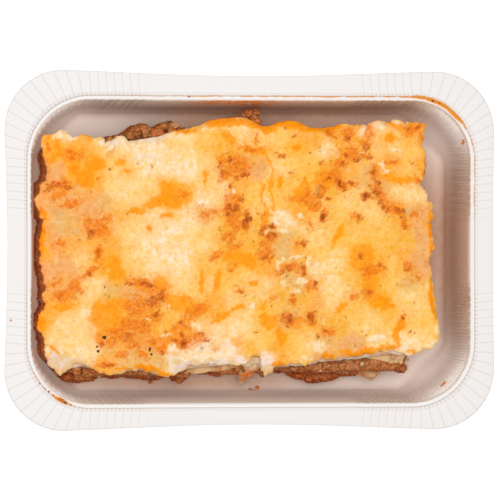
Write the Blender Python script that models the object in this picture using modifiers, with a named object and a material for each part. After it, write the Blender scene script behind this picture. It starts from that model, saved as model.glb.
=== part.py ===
"""A ready meal: a cut slab of baked lasagne in a pressed board tray.

The tray is one pressed sheet of white board. Its corners are pleated where the flat blank had to
gather, and a shallow step runs round inside the flange. The slab is seven layers that run right
through it: three sheets of pasta, two layers of meat sauce, white sauce and melted cheese. It has
slumped towards the front, so its foot lies further forward than its top and less turned.

Frame: the origin is the centre of the underside, +X along the length, +Y to the back, +Z up.
Sizes below are in millimetres, and loft() brings them to metres.
"""

import math

import bmesh
import bpy
import numpy as np

MM = 0.001

# ---- the tray -----------------------------------------------------------------------------------
TRAY_LENGTH = 188.0  # over the corners, before the sides bow in
TRAY_WIDTH = 137.4
TRAY_HEIGHT = 36.0
BOARD = 0.6  # thickness of the pressed board

FLANGE_CORNER = 21.7  # corner radius of the flange's outer edge
FLANGE_DROOP = 0.5  # how far the flange falls to its outer edge
FLANGE_BOW = (1.35, 2.4)  # how far its ends and its sides pull in at their middles
WELL_BOW = (0.0, 0.5)

CORNER_X = 60.7  # centre of the well's corner arcs
CORNER_Y = 34.2
WELL_SHIFT = (0.5, -0.4)  # the well was pressed a little off the blank's centre
STEP_RADIUS = 24.5  # each ring of the well is the corner centres' rectangle grown by a radius
STEP_DROP = 1.1
STEP_RUN = 0.5
LEDGE_RADIUS = 22.4
LEDGE_DROP = 1.4
WALL_FOOT_RADIUS = 18.9
WALL_FOOT_HEIGHT = 3.6
FLOOR_RADIUS = 16.1

PLEATS_IN_ARC = 12
PLEATS_ON_RUN = 5
PLEAT_PITCH = 3.1
PLEAT_DEPTH = 0.25
END_PLAIN = (0.0, 0.28)  # columns without a pleat, as shares of the way to the corner's centre
SIDE_PLAIN = (0.5, 0.25, 0.0)

# ---- the slab -----------------------------------------------------------------------------------
# A rounded rectangle at its foot and at its top; the layers between lie on the lean.
FOOT_CENTRE = (-1.8, -3.0)
FOOT_SIZE = (143.0, 90.0)
FOOT_CORNER = 10.0
FOOT_TURN = 0.4  # degrees, anticlockwise from above
TOP_CENTRE = (-3.2, 1.6)
TOP_SIZE = (149.0, 88.0)
TOP_CORNER = 4.0
TOP_TURN = 2.7
EDGE_SAG = 2.0  # how far the top falls from the middle to the edge
SHEET_WAVE = 0.5  # up and down waves of the layers along the cut edge
SLAB_MIDDLE = (-2.5, -0.7)
SLAB_REACH = (74.5, 46.0)  # from its middle to its edges, where the whole sag is reached
GAP = 0.3  # clearance between neighbouring solids
SLAB_COLUMNS = 72
CORE_RING = 0.6  # where the layers stop being flat, as a share of the way out
EDGE_WAVES = (4, 7, 11, 17, 23)  # waves round the slab that make an edge ragged

# The layers from the floor up: name, material, thickness, how ragged the edge is, how far its
# side swells, and how far its edge stands out past the lean of the slab.
LAYERS = (
    ("pasta_bottom", "pasta", 1.8, 0.3, 0.0, 0.0),
    ("meat_sauce_lower", "meat_sauce", 6.9, 1.2, 1.2, 0.2),
    ("pasta_middle", "pasta", 1.7, 0.6, 0.0, 0.2),
    ("meat_sauce_upper", "meat_sauce", 6.9, 1.2, 1.2, 0.0),
    ("pasta_top", "pasta", 1.6, 0.6, 0.0, 0.0),
    ("white_sauce", "white_sauce", 3.2, 0.5, 0.8, 0.0),
    ("cheese_topping", "cheese", 3.7, 0.3, 0.7, 0.0),
)
CHEESE_RINGS = (0.2, 0.4, 0.6, 0.8, 0.96)  # rings of the cheese's upper face, as shares of the way out
CHEESE_SIDE = 0.6  # height of its fullest line, as a share of its thickness
# Soft swells of the melted top: height, waves per millimetre along X and along Y, phase.
SWELLS = (
    (0.32, 0.11, 0.04, 1.0),
    (0.25, 0.05, -0.13, 2.2),
    (0.21, 0.19, 0.15, 0.0),
    (0.14, 0.27, -0.21, 4.0),
)

# Where an edge runs out or draws back: side, place along it, half width, distance outwards.
CHEESE_EDGE = (
    ("back", -66.0, 4.5, 2.4),
    ("back", -44.0, 9.0, -2.2),
    ("back", -8.0, 12.0, 4.2),
    ("back", 20.0, 6.0, 2.4),
    ("back", 60.0, 5.0, 1.2),
    ("front", -68.0, 7.0, -4.0),
    ("front", -26.0, 6.0, 3.0),
    ("front", -10.0, 7.0, 2.6),
    ("front", 6.0, 5.0, -2.6),
    ("front", 15.0, 6.0, 2.4),
    ("front", 60.0, 9.0, -1.2),
    ("right", 22.0, 4.0, -2.4),
    ("right", -6.0, 6.0, -1.2),
    ("left", 20.0, 7.0, 2.0),
    ("left", -31.0, 5.0, 1.6),
)
MEAT_EDGE = (
    ("back", -38.0, 8.0, 3.0),
    ("back", -28.0, 6.0, 4.0),
    ("front", 31.0, 13.0, 2.0),
)
EDGES = {
    "pasta_bottom": (("front", 44.0, 9.0, 1.2),),
    "meat_sauce_lower": MEAT_EDGE,
    "pasta_middle": (("front", 44.0, 9.0, 2.6),),
    "meat_sauce_upper": MEAT_EDGE,
    "pasta_top": (("front", -1.0, 4.0, 4.5),),
    "white_sauce": CHEESE_EDGE,
    "cheese_topping": CHEESE_EDGE,
}

# ---- finishes: base colour and roughness ----------------------------------------------------------
FINISHES = {
    "board": ((0.90, 0.885, 0.87), 0.55),
    "pasta": ((0.74, 0.55, 0.32), 0.35),
    "meat_sauce": ((0.27, 0.085, 0.026), 0.4),
    "white_sauce": ((0.86, 0.76, 0.60), 0.35),
    "cheese": ((0.93, 0.58, 0.19), 0.35),
}
SHARP_ANGLE = math.radians(40.0)


# ---- helpers ------------------------------------------------------------------------------------
def clear_scene():
    for old in list(bpy.data.objects):
        bpy.data.objects.remove(old)


def make_material(name):
    colour, roughness = FINISHES[name]
    material = bpy.data.materials.new(name)
    material.use_nodes = True
    shader = material.node_tree.nodes["Principled BSDF"]
    shader.inputs["Base Color"].default_value = (*colour, 1.0)
    shader.inputs["Roughness"].default_value = roughness
    shader.inputs["Metallic"].default_value = 0.0
    return material


def loft(name, rings, flat_start=False):
    """A mesh object through closed rings of points, each (columns, 3), in millimetres.

    The rings turn anticlockwise from above and run from the middle of the upper face outwards
    and down, so the faces point out. A flat start is one polygon with the far end left open;
    otherwise both ends close as fans of triangles.
    """
    shape = bmesh.new()
    loops = [[shape.verts.new(point * MM) for point in ring] for ring in rings]
    columns = len(loops[0])
    for upper, lower in zip(loops, loops[1:]):
        for i in range(columns):
            j = (i + 1) % columns
            shape.faces.new((upper[i], lower[i], lower[j], upper[j]))
    if flat_start:
        shape.faces.new(loops[0])
    else:
        for loop, ring, order in ((loops[0], rings[0], 1), (loops[-1], rings[-1], -1)):
            middle = shape.verts.new(ring.mean(axis=0) * MM)
            for i in range(columns):
                edge = (loop[i], loop[(i + 1) % columns])[::order]
                shape.faces.new((middle, *edge))
    mesh = bpy.data.meshes.new(name)
    shape.to_mesh(mesh)
    shape.free()
    return bpy.data.objects.new(name, mesh)


# ---- making the tray ----------------------------------------------------------------------------
def quarter_rays():
    """The rays of one quarter of the tray, from the middle of an end to the middle of a side.

    Each is (start x, start y, direction x, direction y, creased). They stand square to the walls
    along the straight runs and fan out of the corner's centre, and every second one is a crease.
    """
    offsets = [i * PLEAT_PITCH / 2 for i in range(1, 2 * PLEATS_ON_RUN + 1)]
    rays = [(0.0, share * CORNER_Y, 1.0, 0.0, False) for share in END_PLAIN]
    rays += [(0.0, CORNER_Y - offset, 1.0, 0.0, i % 2 == 0) for i, offset in enumerate(offsets)][::-1]
    arc_steps = 2 * PLEATS_IN_ARC
    for i in range(arc_steps + 1):
        angle = math.pi / 2 * i / arc_steps
        rays.append((CORNER_X, CORNER_Y, math.cos(angle), math.sin(angle), i % 2 == 1))
    rays += [(CORNER_X - offset, 0.0, 0.0, 1.0, i % 2 == 0) for i, offset in enumerate(offsets)]
    rays += [(share * CORNER_X, 0.0, 0.0, 1.0, False) for share in SIDE_PLAIN]
    return rays


def reach_to_well(x, y, dx, dy, radius):
    """How far along a ray the well's wall lies: a radius past the corner centres' rectangle."""
    return (CORNER_X - x) * dx + (CORNER_Y - y) * dy + radius


def reach_to_flange(x, y, dx, dy):
    """How far along a ray the flange's outer edge lies: an end, a side or the arc between them."""
    half_length, half_width = TRAY_LENGTH / 2, TRAY_WIDTH / 2
    centre_x, centre_y = half_length - FLANGE_CORNER, half_width - FLANGE_CORNER
    to_end = (half_length - x) / dx if dx > 1e-9 else math.inf
    to_side = (half_width - y) / dy if dy > 1e-9 else math.inf
    if y + to_end * dy <= centre_y:
        return to_end
    if x + to_side * dx <= centre_x:
        return to_side
    along = (centre_x - x) * dx + (centre_y - y) * dy
    across = (centre_x - x) * dy - (centre_y - y) * dx
    return along + math.sqrt(FLANGE_CORNER**2 - across**2)


def bow(position, half, depth):
    """How far a side has pulled in at a place along it: most at its middle, nothing at its end."""
    share = min(1.0, abs(position) / half)
    return depth * math.cos(math.pi / 2 * share) ** 2


def tray_ring(height, radius=None, pleat_out=0.0, pleat_down=0.0, bows=(0.0, 0.0), shift=(0.0, 0.0)):
    """One ring of the tray: a point on each ray, at a corner radius or, for None, on the outer edge."""
    quarter = []
    for x, y, dx, dy, creased in quarter_rays():
        if radius is None:
            reach = reach_to_flange(x, y, dx, dy)
        else:
            reach = reach_to_well(x, y, dx, dy, radius)
        if creased:
            reach += pleat_out
        px, py = x + dx * reach, y + dy * reach
        if px > CORNER_X:
            px -= dx * bow(py, TRAY_WIDTH / 2, bows[0])
        if py > CORNER_Y:
            py -= dy * bow(px, TRAY_LENGTH / 2, bows[1])
        quarter.append((px, py, height - (pleat_down if creased else 0.0)))
    quarter = np.array(quarter)
    mirrored = quarter[-2:0:-1] * (-1.0, 1.0, 1.0)
    half = np.concatenate([quarter, mirrored])
    ring = np.concatenate([half, half * (-1.0, -1.0, 1.0)])
    ring[:, :2] += shift
    return ring


def make_tray(material):
    """The pressed sheet: its upper face as rings from the floor out to the flange, then Solidify."""
    well = {"bows": WELL_BOW, "shift": WELL_SHIFT}
    ledge_height = TRAY_HEIGHT - LEDGE_DROP
    step_foot = TRAY_HEIGHT - STEP_DROP
    edge_height = TRAY_HEIGHT - FLANGE_DROOP
    rings = [
        tray_ring(BOARD, FLOOR_RADIUS, shift=WELL_SHIFT),
        tray_ring(WALL_FOOT_HEIGHT, WALL_FOOT_RADIUS, pleat_out=PLEAT_DEPTH / 2, shift=WELL_SHIFT),
        tray_ring(ledge_height, LEDGE_RADIUS, pleat_out=PLEAT_DEPTH, **well),
        tray_ring(step_foot, STEP_RADIUS - STEP_RUN, pleat_down=PLEAT_DEPTH, **well),
        tray_ring(TRAY_HEIGHT, STEP_RADIUS, pleat_down=PLEAT_DEPTH, **well),
        tray_ring(edge_height, pleat_down=PLEAT_DEPTH, bows=FLANGE_BOW),
    ]
    tray = loft("tray", rings, flat_start=True)
    board = tray.modifiers.new("board thickness", "SOLIDIFY")
    board.thickness = BOARD * MM
    board.offset = -1.0
    board.use_even_offset = True
    tray.data.materials.append(material)
    return tray


# ---- making the slab ----------------------------------------------------------------------------
def rounded_rectangle(size, corner, count):
    """Equally spaced points round a rectangle with rounded corners, and the outward way at each."""
    half_x, half_y = size[0] / 2 - corner, size[1] / 2 - corner
    quarter = np.linspace(0.0, math.pi / 2, 9)
    line, facing = [], []
    for turn, (side_x, side_y) in enumerate(((1, 1), (-1, 1), (-1, -1), (1, -1))):
        angle = quarter + turn * math.pi / 2
        direction = np.stack([np.cos(angle), np.sin(angle)], axis=1)
        line.append(np.array([side_x * half_x, side_y * half_y]) + corner * direction)
        facing.append(direction)
    line = np.concatenate([*line, line[0][:1]])
    facing = np.concatenate([*facing, facing[0][:1]])
    along = np.concatenate([[0.0], np.cumsum(np.linalg.norm(np.diff(line, axis=0), axis=1))])
    at = np.arange(count) / count * along[-1]
    points = np.stack([np.interp(at, along, line[:, i]) for i in (0, 1)], axis=1)
    outward = np.stack([np.interp(at, along, facing[:, i]) for i in (0, 1)], axis=1)
    return points, outward / np.linalg.norm(outward, axis=1, keepdims=True)


def ragged(amount, seed):
    """A rough edge: a few waves round the slab, shorter ones lower, with phases drawn from a seed."""
    turn = np.arange(SLAB_COLUMNS) / SLAB_COLUMNS
    phases = np.random.default_rng(seed).uniform(0.0, 2.0 * math.pi, len(EDGE_WAVES))
    rough = np.zeros(SLAB_COLUMNS)
    for waves, phase in zip(EDGE_WAVES, phases):
        rough += np.sin(2.0 * math.pi * waves * turn + phase) / math.sqrt(waves / EDGE_WAVES[0])
    return amount * rough / 2.0


def edge_bumps(points, outward, bumps):
    """How far each edge point is pushed out by the bumps on its side of the slab."""
    sides = {"right": (0, 1.0), "left": (0, -1.0), "back": (1, 1.0), "front": (1, -1.0)}
    push = np.zeros(len(points))
    for side, place, half_width, distance in bumps:
        across, sign = sides[side]
        along = points[:, 1 - across]
        facing = np.clip(outward[:, across] * sign, 0.0, 1.0)
        push += distance * facing * np.exp(-(((along - place) / half_width) ** 2))
    return push


def between(low, high, share):
    return np.array(low) + (np.array(high) - np.array(low)) * share


def slab_outline(level, rough, stand_out, seed, bumps):
    """The slab's edge at a level, 0 at its foot and 1 at its top, as (SLAB_COLUMNS, 2) points."""
    corner = between(FOOT_CORNER, TOP_CORNER, level)
    points, outward = rounded_rectangle(between(FOOT_SIZE, TOP_SIZE, level), corner, SLAB_COLUMNS)
    push = stand_out + ragged(rough, seed) + edge_bumps(points, outward, bumps)
    points = points + outward * push[:, None]
    turn = math.radians(between(FOOT_TURN, TOP_TURN, level))
    spin = np.array([[math.cos(turn), math.sin(turn)], [-math.sin(turn), math.cos(turn)]])
    return points @ spin + between(FOOT_CENTRE, TOP_CENTRE, level)


def boundary(places, height, slab_top):
    """A boundary between layers at some places: flat within, waved and sagging towards the edge."""
    away = (places - SLAB_MIDDLE) / SLAB_REACH
    out = np.linalg.norm(away, ord=4, axis=1)
    turn = np.arctan2(away[:, 1], away[:, 0])
    wave = np.sin(3 * turn + 0.7) + 0.6 * np.sin(8 * turn + 2.1)
    return height + height / slab_top * out**2 * (SHEET_WAVE * wave - EDGE_SAG)


def swell_of_top(places):
    """How far the melted top rises or dips at some places."""
    x, y = places.T
    return sum(height * np.sin(along * x + across * y + phase) for height, along, across, phase in SWELLS)


def drawn_in(outline, share):
    """The outline at a share of its size about its middle."""
    middle = outline.mean(axis=0)
    return middle + (outline - middle) * share


def swollen(outline, swell):
    """The outline moved straight out from its middle by a distance."""
    away = outline - outline.mean(axis=0)
    return outline + swell * away / np.linalg.norm(away, axis=1, keepdims=True)


def make_layer(name, low, high, slab_top, outline, swell, material):
    """One layer between two heights, flat inside its core ring, with its side swelling outwards.

    The melted cheese has more rings, so that its top can swell, and a rounded edge.
    """
    melted = name == "cheese_topping"
    rings = []
    for share in CHEESE_RINGS if melted else (CORE_RING, 1.0):
        places = drawn_in(outline, share)
        height = boundary(places, high, slab_top)
        if melted:
            height += swell_of_top(places)
        rings.append(np.column_stack([places, height]))
    if swell > 0.0:
        fullest = between(low, high, CHEESE_SIDE if melted else 0.5)
        rings.append(np.column_stack([swollen(outline, swell), boundary(outline, fullest, slab_top)]))
    for share in (1.0, CORE_RING):
        places = drawn_in(outline, share)
        rings.append(np.column_stack([places, boundary(places, low, slab_top)]))
    layer = loft(name, rings)
    layer.data.materials.append(material)
    return layer


def make_slab(materials):
    """The layers, one on another from the tray's floor up."""
    slab_top = BOARD + sum(GAP + thickness for _, _, thickness, *_ in LAYERS)
    pieces = []
    low = BOARD + GAP
    for seed, (name, stuff, thickness, rough, swell, stand_out) in enumerate(LAYERS):
        high = low + thickness
        level = (low + high) / 2 / slab_top
        outline = slab_outline(level, rough, stand_out, seed, EDGES[name])
        pieces.append(make_layer(name, low, high, slab_top, outline, swell, materials[stuff]))
        low = high + GAP
    return pieces


def main():
    clear_scene()
    materials = {name: make_material(name) for name in FINISHES}
    meal = bpy.data.collections.new("lasagne_tray_meal")
    bpy.context.scene.collection.children.link(meal)
    for piece in [make_tray(materials["board"]), *make_slab(materials)]:
        meal.objects.link(piece)
        piece.data.shade_smooth()
        piece.data.set_sharp_from_angle(angle=SHARP_ANGLE)


main()
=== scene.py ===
# %% [markdown]
# # A lasagne ready meal in a paperboard tray
# A slab of baked lasagne lies in a tray pressed from one sheet of white board. The solids of the
# part are the fixed frame. Every piece below stands in for one of them, or adds something too
# small or too soft for a solid, and each new piece is a surface worked out with numpy.
#
# The view is the one of a cook's table: almost straight down, with soft light from above.

import math

import bpy
import numpy as np
from mathutils import Matrix, Vector


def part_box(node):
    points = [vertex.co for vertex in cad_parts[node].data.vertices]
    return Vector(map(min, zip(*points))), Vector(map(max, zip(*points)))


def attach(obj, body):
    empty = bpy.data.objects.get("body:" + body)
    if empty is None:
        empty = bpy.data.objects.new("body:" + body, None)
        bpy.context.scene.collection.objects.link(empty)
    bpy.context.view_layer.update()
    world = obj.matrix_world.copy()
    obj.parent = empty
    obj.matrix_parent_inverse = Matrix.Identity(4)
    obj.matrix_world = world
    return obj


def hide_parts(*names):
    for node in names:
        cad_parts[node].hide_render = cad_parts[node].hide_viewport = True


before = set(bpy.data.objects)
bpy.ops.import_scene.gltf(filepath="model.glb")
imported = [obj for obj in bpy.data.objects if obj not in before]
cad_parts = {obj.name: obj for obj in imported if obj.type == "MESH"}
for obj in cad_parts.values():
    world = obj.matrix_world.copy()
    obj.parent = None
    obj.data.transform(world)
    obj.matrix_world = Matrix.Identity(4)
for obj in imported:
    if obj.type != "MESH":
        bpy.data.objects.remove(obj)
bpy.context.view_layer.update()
MM = 0.001


def box_mm(node):
    """The lowest and the highest corner of a solid, in millimetres."""
    low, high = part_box(node)
    return np.array(low) / MM, np.array(high) / MM


tray_low, tray_high = box_mm("tray")
cheese_low, cheese_high = box_mm("cheese_topping")
MIDDLE = (tray_low + tray_high) / 2  # listed details are measured from the middle of the tray
print("tray", np.round(tray_high - tray_low, 1), "cheese", np.round(cheese_high - cheese_low, 1))

# %% [markdown]
# ## Noise
# Food is never even, so most of what follows leans on noise. Textures could make it at render
# time, but a shape needs it as numbers, so here it is worked out with numpy for whole arrays of
# places at once. Two kinds are enough: soft gradient noise for swells, stains and frayed edges,
# and cell noise for crumbs, specks and lumps of mince.

# %% Noise as whole arrays
TABLE = 64  # the random tables repeat after this many squares


def smooth(t):
    """0 below 0, 1 above 1, and a soft step between: 3 t squared less 2 t cubed."""
    t = np.clip(t, 0.0, 1.0)
    return t * t * (3.0 - 2.0 * t)


def blend(a, b, t):
    """a where t is 0, b where t is 1: a + (b - a) t."""
    return a + (b - a) * t


def gradient_noise(x, y, size, seed):
    """Soft bumps from about -1 to 1: slopes drawn at the corners of squares, blended between."""
    turn = np.random.default_rng(seed).uniform(0.0, 2.0 * np.pi, (TABLE, TABLE))
    gx, gy = x / size, y / size
    ix, iy = np.floor(gx).astype(int), np.floor(gy).astype(int)
    fx, fy = gx - ix, gy - iy

    def corner(i, j):
        angle = turn[(ix + i) % TABLE, (iy + j) % TABLE]
        return np.cos(angle) * (fx - i) + np.sin(angle) * (fy - j)

    low = blend(corner(0, 0), corner(1, 0), smooth(fx))
    high = blend(corner(0, 1), corner(1, 1), smooth(fx))
    return 1.5 * blend(low, high, smooth(fy))


def layered_noise(x, y, size, seed, octaves=4):
    """Gradient noise with finer and weaker copies on top: each half the size and half as strong."""
    total = np.zeros(np.shape(x))
    for octave in range(octaves):
        total += gradient_noise(x, y, size / 2**octave, seed + octave) / 2**octave
    return total / 1.5


def cells(x, y, size, seed):
    """Scattered points, one in every square: the distance to the nearest, in sizes, and its number."""
    chance = np.random.default_rng(seed).uniform(0.0, 1.0, (TABLE, TABLE, 3))
    gx, gy = x / size, y / size
    ix, iy = np.floor(gx).astype(int), np.floor(gy).astype(int)
    nearest = np.full(np.shape(x), 9.0)
    number = np.zeros(np.shape(x))
    for i in (-1, 0, 1):
        for j in (-1, 0, 1):
            drawn = chance[(ix + i) % TABLE, (iy + j) % TABLE]
            away = np.hypot(ix + i + drawn[..., 0] - gx, iy + j + drawn[..., 1] - gy)
            closer = away < nearest
            nearest = np.where(closer, away, nearest)
            number = np.where(closer, drawn[..., 2], number)
    return nearest, number


sample_x, sample_y = np.meshgrid(np.linspace(0, 50, 200), np.linspace(0, 50, 200))
print("noise spread", round(float(layered_noise(sample_x, sample_y, 8.0, 1).std()), 3))

# %% [markdown]
# ## Painting the baked cheese
# A baked top is a map of patches: cream where the sauce came through, amber where fat pooled,
# orange and rust where the oven caught it. A texture of noise alone could colour it, but then no
# patch would lie where a real one does. So the patches are listed, as ellipses in
# millimetres from the middle of the tray, and noise only frays their edges. The map is then a
# function of the place, so the same code gives every point of the mesh its colour and its height.

# %% Colours of the food
COLOURS = {
    "sauce": (246, 232, 212), "pale": (255, 231, 188), "cream": (255, 223, 164),
    "butter": (255, 215, 142), "gold": (255, 204, 112), "honey": (250, 188, 88),
    "apricot": (255, 179, 88), "peach": (240, 176, 120), "beige": (232, 188, 128),
    "amber": (255, 172, 32), "deep_amber": (255, 156, 22), "orange": (248, 136, 42),
    "red_orange": (236, 112, 34), "rust": (204, 98, 36), "brown": (150, 72, 30),
    "dark": (92, 52, 34), "herb": (204, 172, 124), "greige": (226, 208, 188),
}


def linear(colour):
    """A screen colour, 0 to 255 or by name, as linear light: the sRGB curve undone."""
    screen = np.array(COLOURS.get(colour, colour) if isinstance(colour, str) else colour) / 255.0
    return np.where(screen <= 0.04045, screen / 12.92, ((screen + 0.055) / 1.055) ** 2.4)


print(len(COLOURS), "colours, gold is", np.round(linear("gold"), 3))

# %% The cheese's own tone, from one area to the next
# Each entry is x, y and reach in millimetres.
TONES = {
    "greige": (
        (-74, -41, 3), (-70, -42.5, 3.5), (-66, -43.5, 3), (-25, -42, 2.5), (-21, -44, 2.5), (7.5, -44.5, 2.5),
    ),
    "sauce": (
        (-38, 39, 5), (-16, -40, 5), (-8, -39, 4), (-24, -40, 4), (-13, -42.5, 4), (-4, -41.5, 3),
        (8, -41.5, 2.5), (-68, 44, 3), (-54, 41, 2), (-49, 40, 2),
    ),
    "orange": (
        (-41, -35, 4), (-49, -35.5, 3.5), (-56, -34, 2.5), (-34, -35, 3), (-26, -34, 3.5), (-71, 24, 2.5),
        (27, -20, 2), (19, 2, 1.5), (-41, -13, 2), (58, 16, 1.5), (19, -28, 2),
    ),
    "pale": (
        (-70, 44, 2.5), (-36, 5, 9), (-36, 31, 5), (-25, 31, 4), (-17, 19, 3), (-23, 12, 5),
        (-30, -3, 9), (-60, -28, 3.5), (-60, -38, 4), (-11, -32, 5), (27, -6, 2.5), (45, 45.5, 2),
        (51, 47, 2.5), (58, 48, 2.5), (14, 10.5, 3), (62, -36, 3.5),
    ),
    "cream": (
        (-44, 25, 7), (-47, 19, 4), (-25, 38, 5), (-15, 31, 4), (-3, 44, 4.5), (-13, 22, 4),
        (62, 22, 4.5), (-63, -3, 3.5), (-66, -36, 6), (-68, -29, 5), (-58, -14, 3.5), (-14, -12, 3),
        (5, -14, 4), (-5, -18.5, 3), (-2, -28, 6), (33, -18, 7), (34, -4, 4), (52, -34, 3.5),
        (66, -35, 4), (24, -35, 3), (31, 38, 2.5), (-56, 41, 2.5), (-48, 38, 3), (12, 31, 3),
    ),
    "butter": (
        (-56, 39, 3), (-50, 30, 5), (-38, 24, 5), (-45, 8, 6), (-52, 24, 3), (-42, -3, 6),
        (-22, -13, 6), (-18, 4, 6), (-48, -39, 3), (27, 5, 5), (46, 15, 5), (40, 19, 5),
        (50, 40, 5), (57, 39, 4), (30, 10, 4), (62, -20, 6), (48, -26, 5), (8, 41, 4),
    ),
    "gold": (
        (-16, 42, 4), (3, 20, 4), (13, 38, 7), (13, 22, 4), (23, 31, 4), (36, 9, 7), (33, 16, 5),
        (47, 6, 7), (62, 38, 4), (-8, -12, 4), (-18, -6, 4), (8, -23, 5), (6, -33, 5),
        (18, -34, 5), (28, -2, 4), (54, -14, 5), (42, -23, 5), (53, -27, 5), (66, -27, 5),
        (40, -8, 4), (62, 32, 3), (58, -8, 4),
    ),
    "honey": (
        (-10, 38, 5), (-28, 21, 5), (-8, 4, 5), (57, 4, 5), (-50, -9, 4), (46, -4, 6),
        (47, -12, 5), (50, -20, 5), (30, -27, 5), (13, -17, 4), (24, -18, 4), (0, -37, 3),
        (60, 9, 4), (-34, -29, 3), (35, -28, 4), (3, 6, 3),
    ),
    "apricot": (
        (-74, 40, 4), (-63, 39, 5), (-59, 26, 5), (-66, 2, 5), (-53, 2, 5), (-77, -2, 2.5),
        (-76, -25, 3), (-57, -4, 5), (-13, -21, 4), (22, 43, 4), (40, 43, 5), (34, 28, 5),
        (55, 34, 5), (21, 16, 4), (65, 44, 4), (66, 33, 3), (60, -1, 3), (7, -8, 3), (12, -38, 4),
        (71, 10, 2), (71, -18, 2), (-48, 12, 3), (-78, 12, 2), (-3, -35, 3), (27, -20, 4), (19, 2, 3),
        (58, 17, 3), (-3, 24, 3), (-26, -36, 3), (-71, -20, 2.5), (-56, -42, 3),
    ),
    "peach": (
        (-60, 18, 6), (-71, 17, 5), (-64, 10, 4), (-75, 5, 4), (-72, -7, 6), (-75, 31, 3),
        (4, 33, 3.5), (-46, -16, 3.5), (65, -6, 4), (68, 8, 4), (66, 14, 3), (-17, 13, 3),
        (40, -36, 3.5), (28, -37, 3), (-62, 20, 4), (-68, 4, 3),
    ),
    "beige": (
        (-70, 10, 5), (-52, 38, 2), (-55, 19, 3), (14, 4, 4), (50, 27, 4), (-52, -15, 3.5),
        (-52, -36, 4), (-42, -37, 5), (-45, -41, 4), (-36, -42, 3), (18, -12, 4), (14, -26, 4),
        (62, -12, 3.5), (30, -33, 3),
    ),
}

# %% The patches on it
# Each entry is x, y, half length, half width and, where it is turned, its turn in degrees.
POOLS_OF_FAT = (
    (-73.5, 37.5, 4.5, 2, 75), (-70, 36, 4, 1.3, 115), (-66, 33, 5.5, 2.6, 95), (-58, 32.5, 3.8, 3.2),
    (-62, 27, 4, 3.4, 90), (-48, 33.5, 1.8, 1), (-46, 30, 1, 0.8), (-28, 20, 6, 4.2), (-31, 24.5, 2.6, 1.6, -30),
    (-35, 18.5, 5, 2.2, 20), (-42, 14.8, 4.5, 1.4), (-31, 13, 3, 0.9, 10), (-37, 8.5, 1, 1),
    (-78.4, 4, 5.5, 1.1, 90), (-7, 43, 3.5, 1.5, -50), (2, 38.4, 6, 1.4, -5), (20.5, 21, 3.5, 3.5),
    (12, 26, 1.8, 1, 90), (22, 25, 2.6, 1.6, 90), (57, 47.3, 4, 1.3, -28), (55, 43, 2.2, 1.8),
    (54.5, 28, 3.4, 1.5, -20), (61, 26.7, 5, 1.3, 5), (29.5, 27, 4.5, 3.8, 20), (-53.5, -26, 7, 5.6),
    (-50, -20.5, 5, 2), (-57, -24, 5, 2.6, 90), (-52, -4.5, 4, 2.8), (-50, -9, 3, 2.4),
    (-70, -21.6, 4, 1.4), (-78.6, -28, 3, 1.3, 90), (-33, -13, 3, 3), (-27.5, -20, 5.5, 3.2),
    (-21, -21.5, 5, 2.2), (-18, -12, 5, 0.8, 90), (-11.8, -12, 5, 1.2, 75), (-5, -3, 4.5, 3.2),
    (1, -4, 3, 3.4), (2, -12.3, 1.8, 1.4), (-10, -25.3, 4.5, 1, 30), (-4, -22, 3.5, 0.9, 22),
    (8.5, -27.5, 3.6, 2.6), (12.5, -32.5, 3.6, 1.8, -70), (6, -25, 1.6, 1.2), (44, -3, 5, 5),
    (47.5, -12, 6, 3, 90), (50.5, -19, 5, 2.6, -15), (54.5, -21.5, 2.6, 1.4), (35, 6, 4, 1.2, 60),
    (-16, 27, 3, 0.7, 80), (5.4, -22, 1.2, 0.9), (36, -22, 3, 1.2, 40), (19, 39, 2.2, 1.4),
)
EDGE_FAT = (
    (-24, 45.1, 4, 0.8, 3), (-8, 49, 10, 1.7, 3), (3, 47.6, 4.2, 1.7, -22), (8, 46, 4, 1.4), (16.5, 47.8, 6.5, 1.6, 3),
    (24, 46.3, 4.5, 1.2, -6), (31, 46.4, 5, 1.1, 8), (70.9, 9, 8, 0.9, 90), (71.6, 0, 4.5, 0.9, 90),
    (71.4, -17, 6, 1, 92), (72.6, -23.5, 3, 1.1, 110), (-78, 15, 3, 0.8, 105), (-74, -37.8, 3.8, 0.8, -38),
    (-38.5, -44.6, 5.6, 1.3, -6), (-31.5, -46.8, 3.4, 0.9, -25), (-47, -44.8, 4, 0.8), (12, -42.9, 3, 0.7, 8),
    (31.5, -40.5, 3, 0.8), (29.8, -39.6, 0.9, 0.9), (40, -39.4, 4.4, 1.2), (48, -38.1, 6, 1.4, 8),
    (55.5, -37, 3, 1.1, 4), (63, -39.1, 3, 0.6), (59, -29, 3.2, 1.5, 60), (57.8, -34, 4, 1.5, 95),
)
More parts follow.
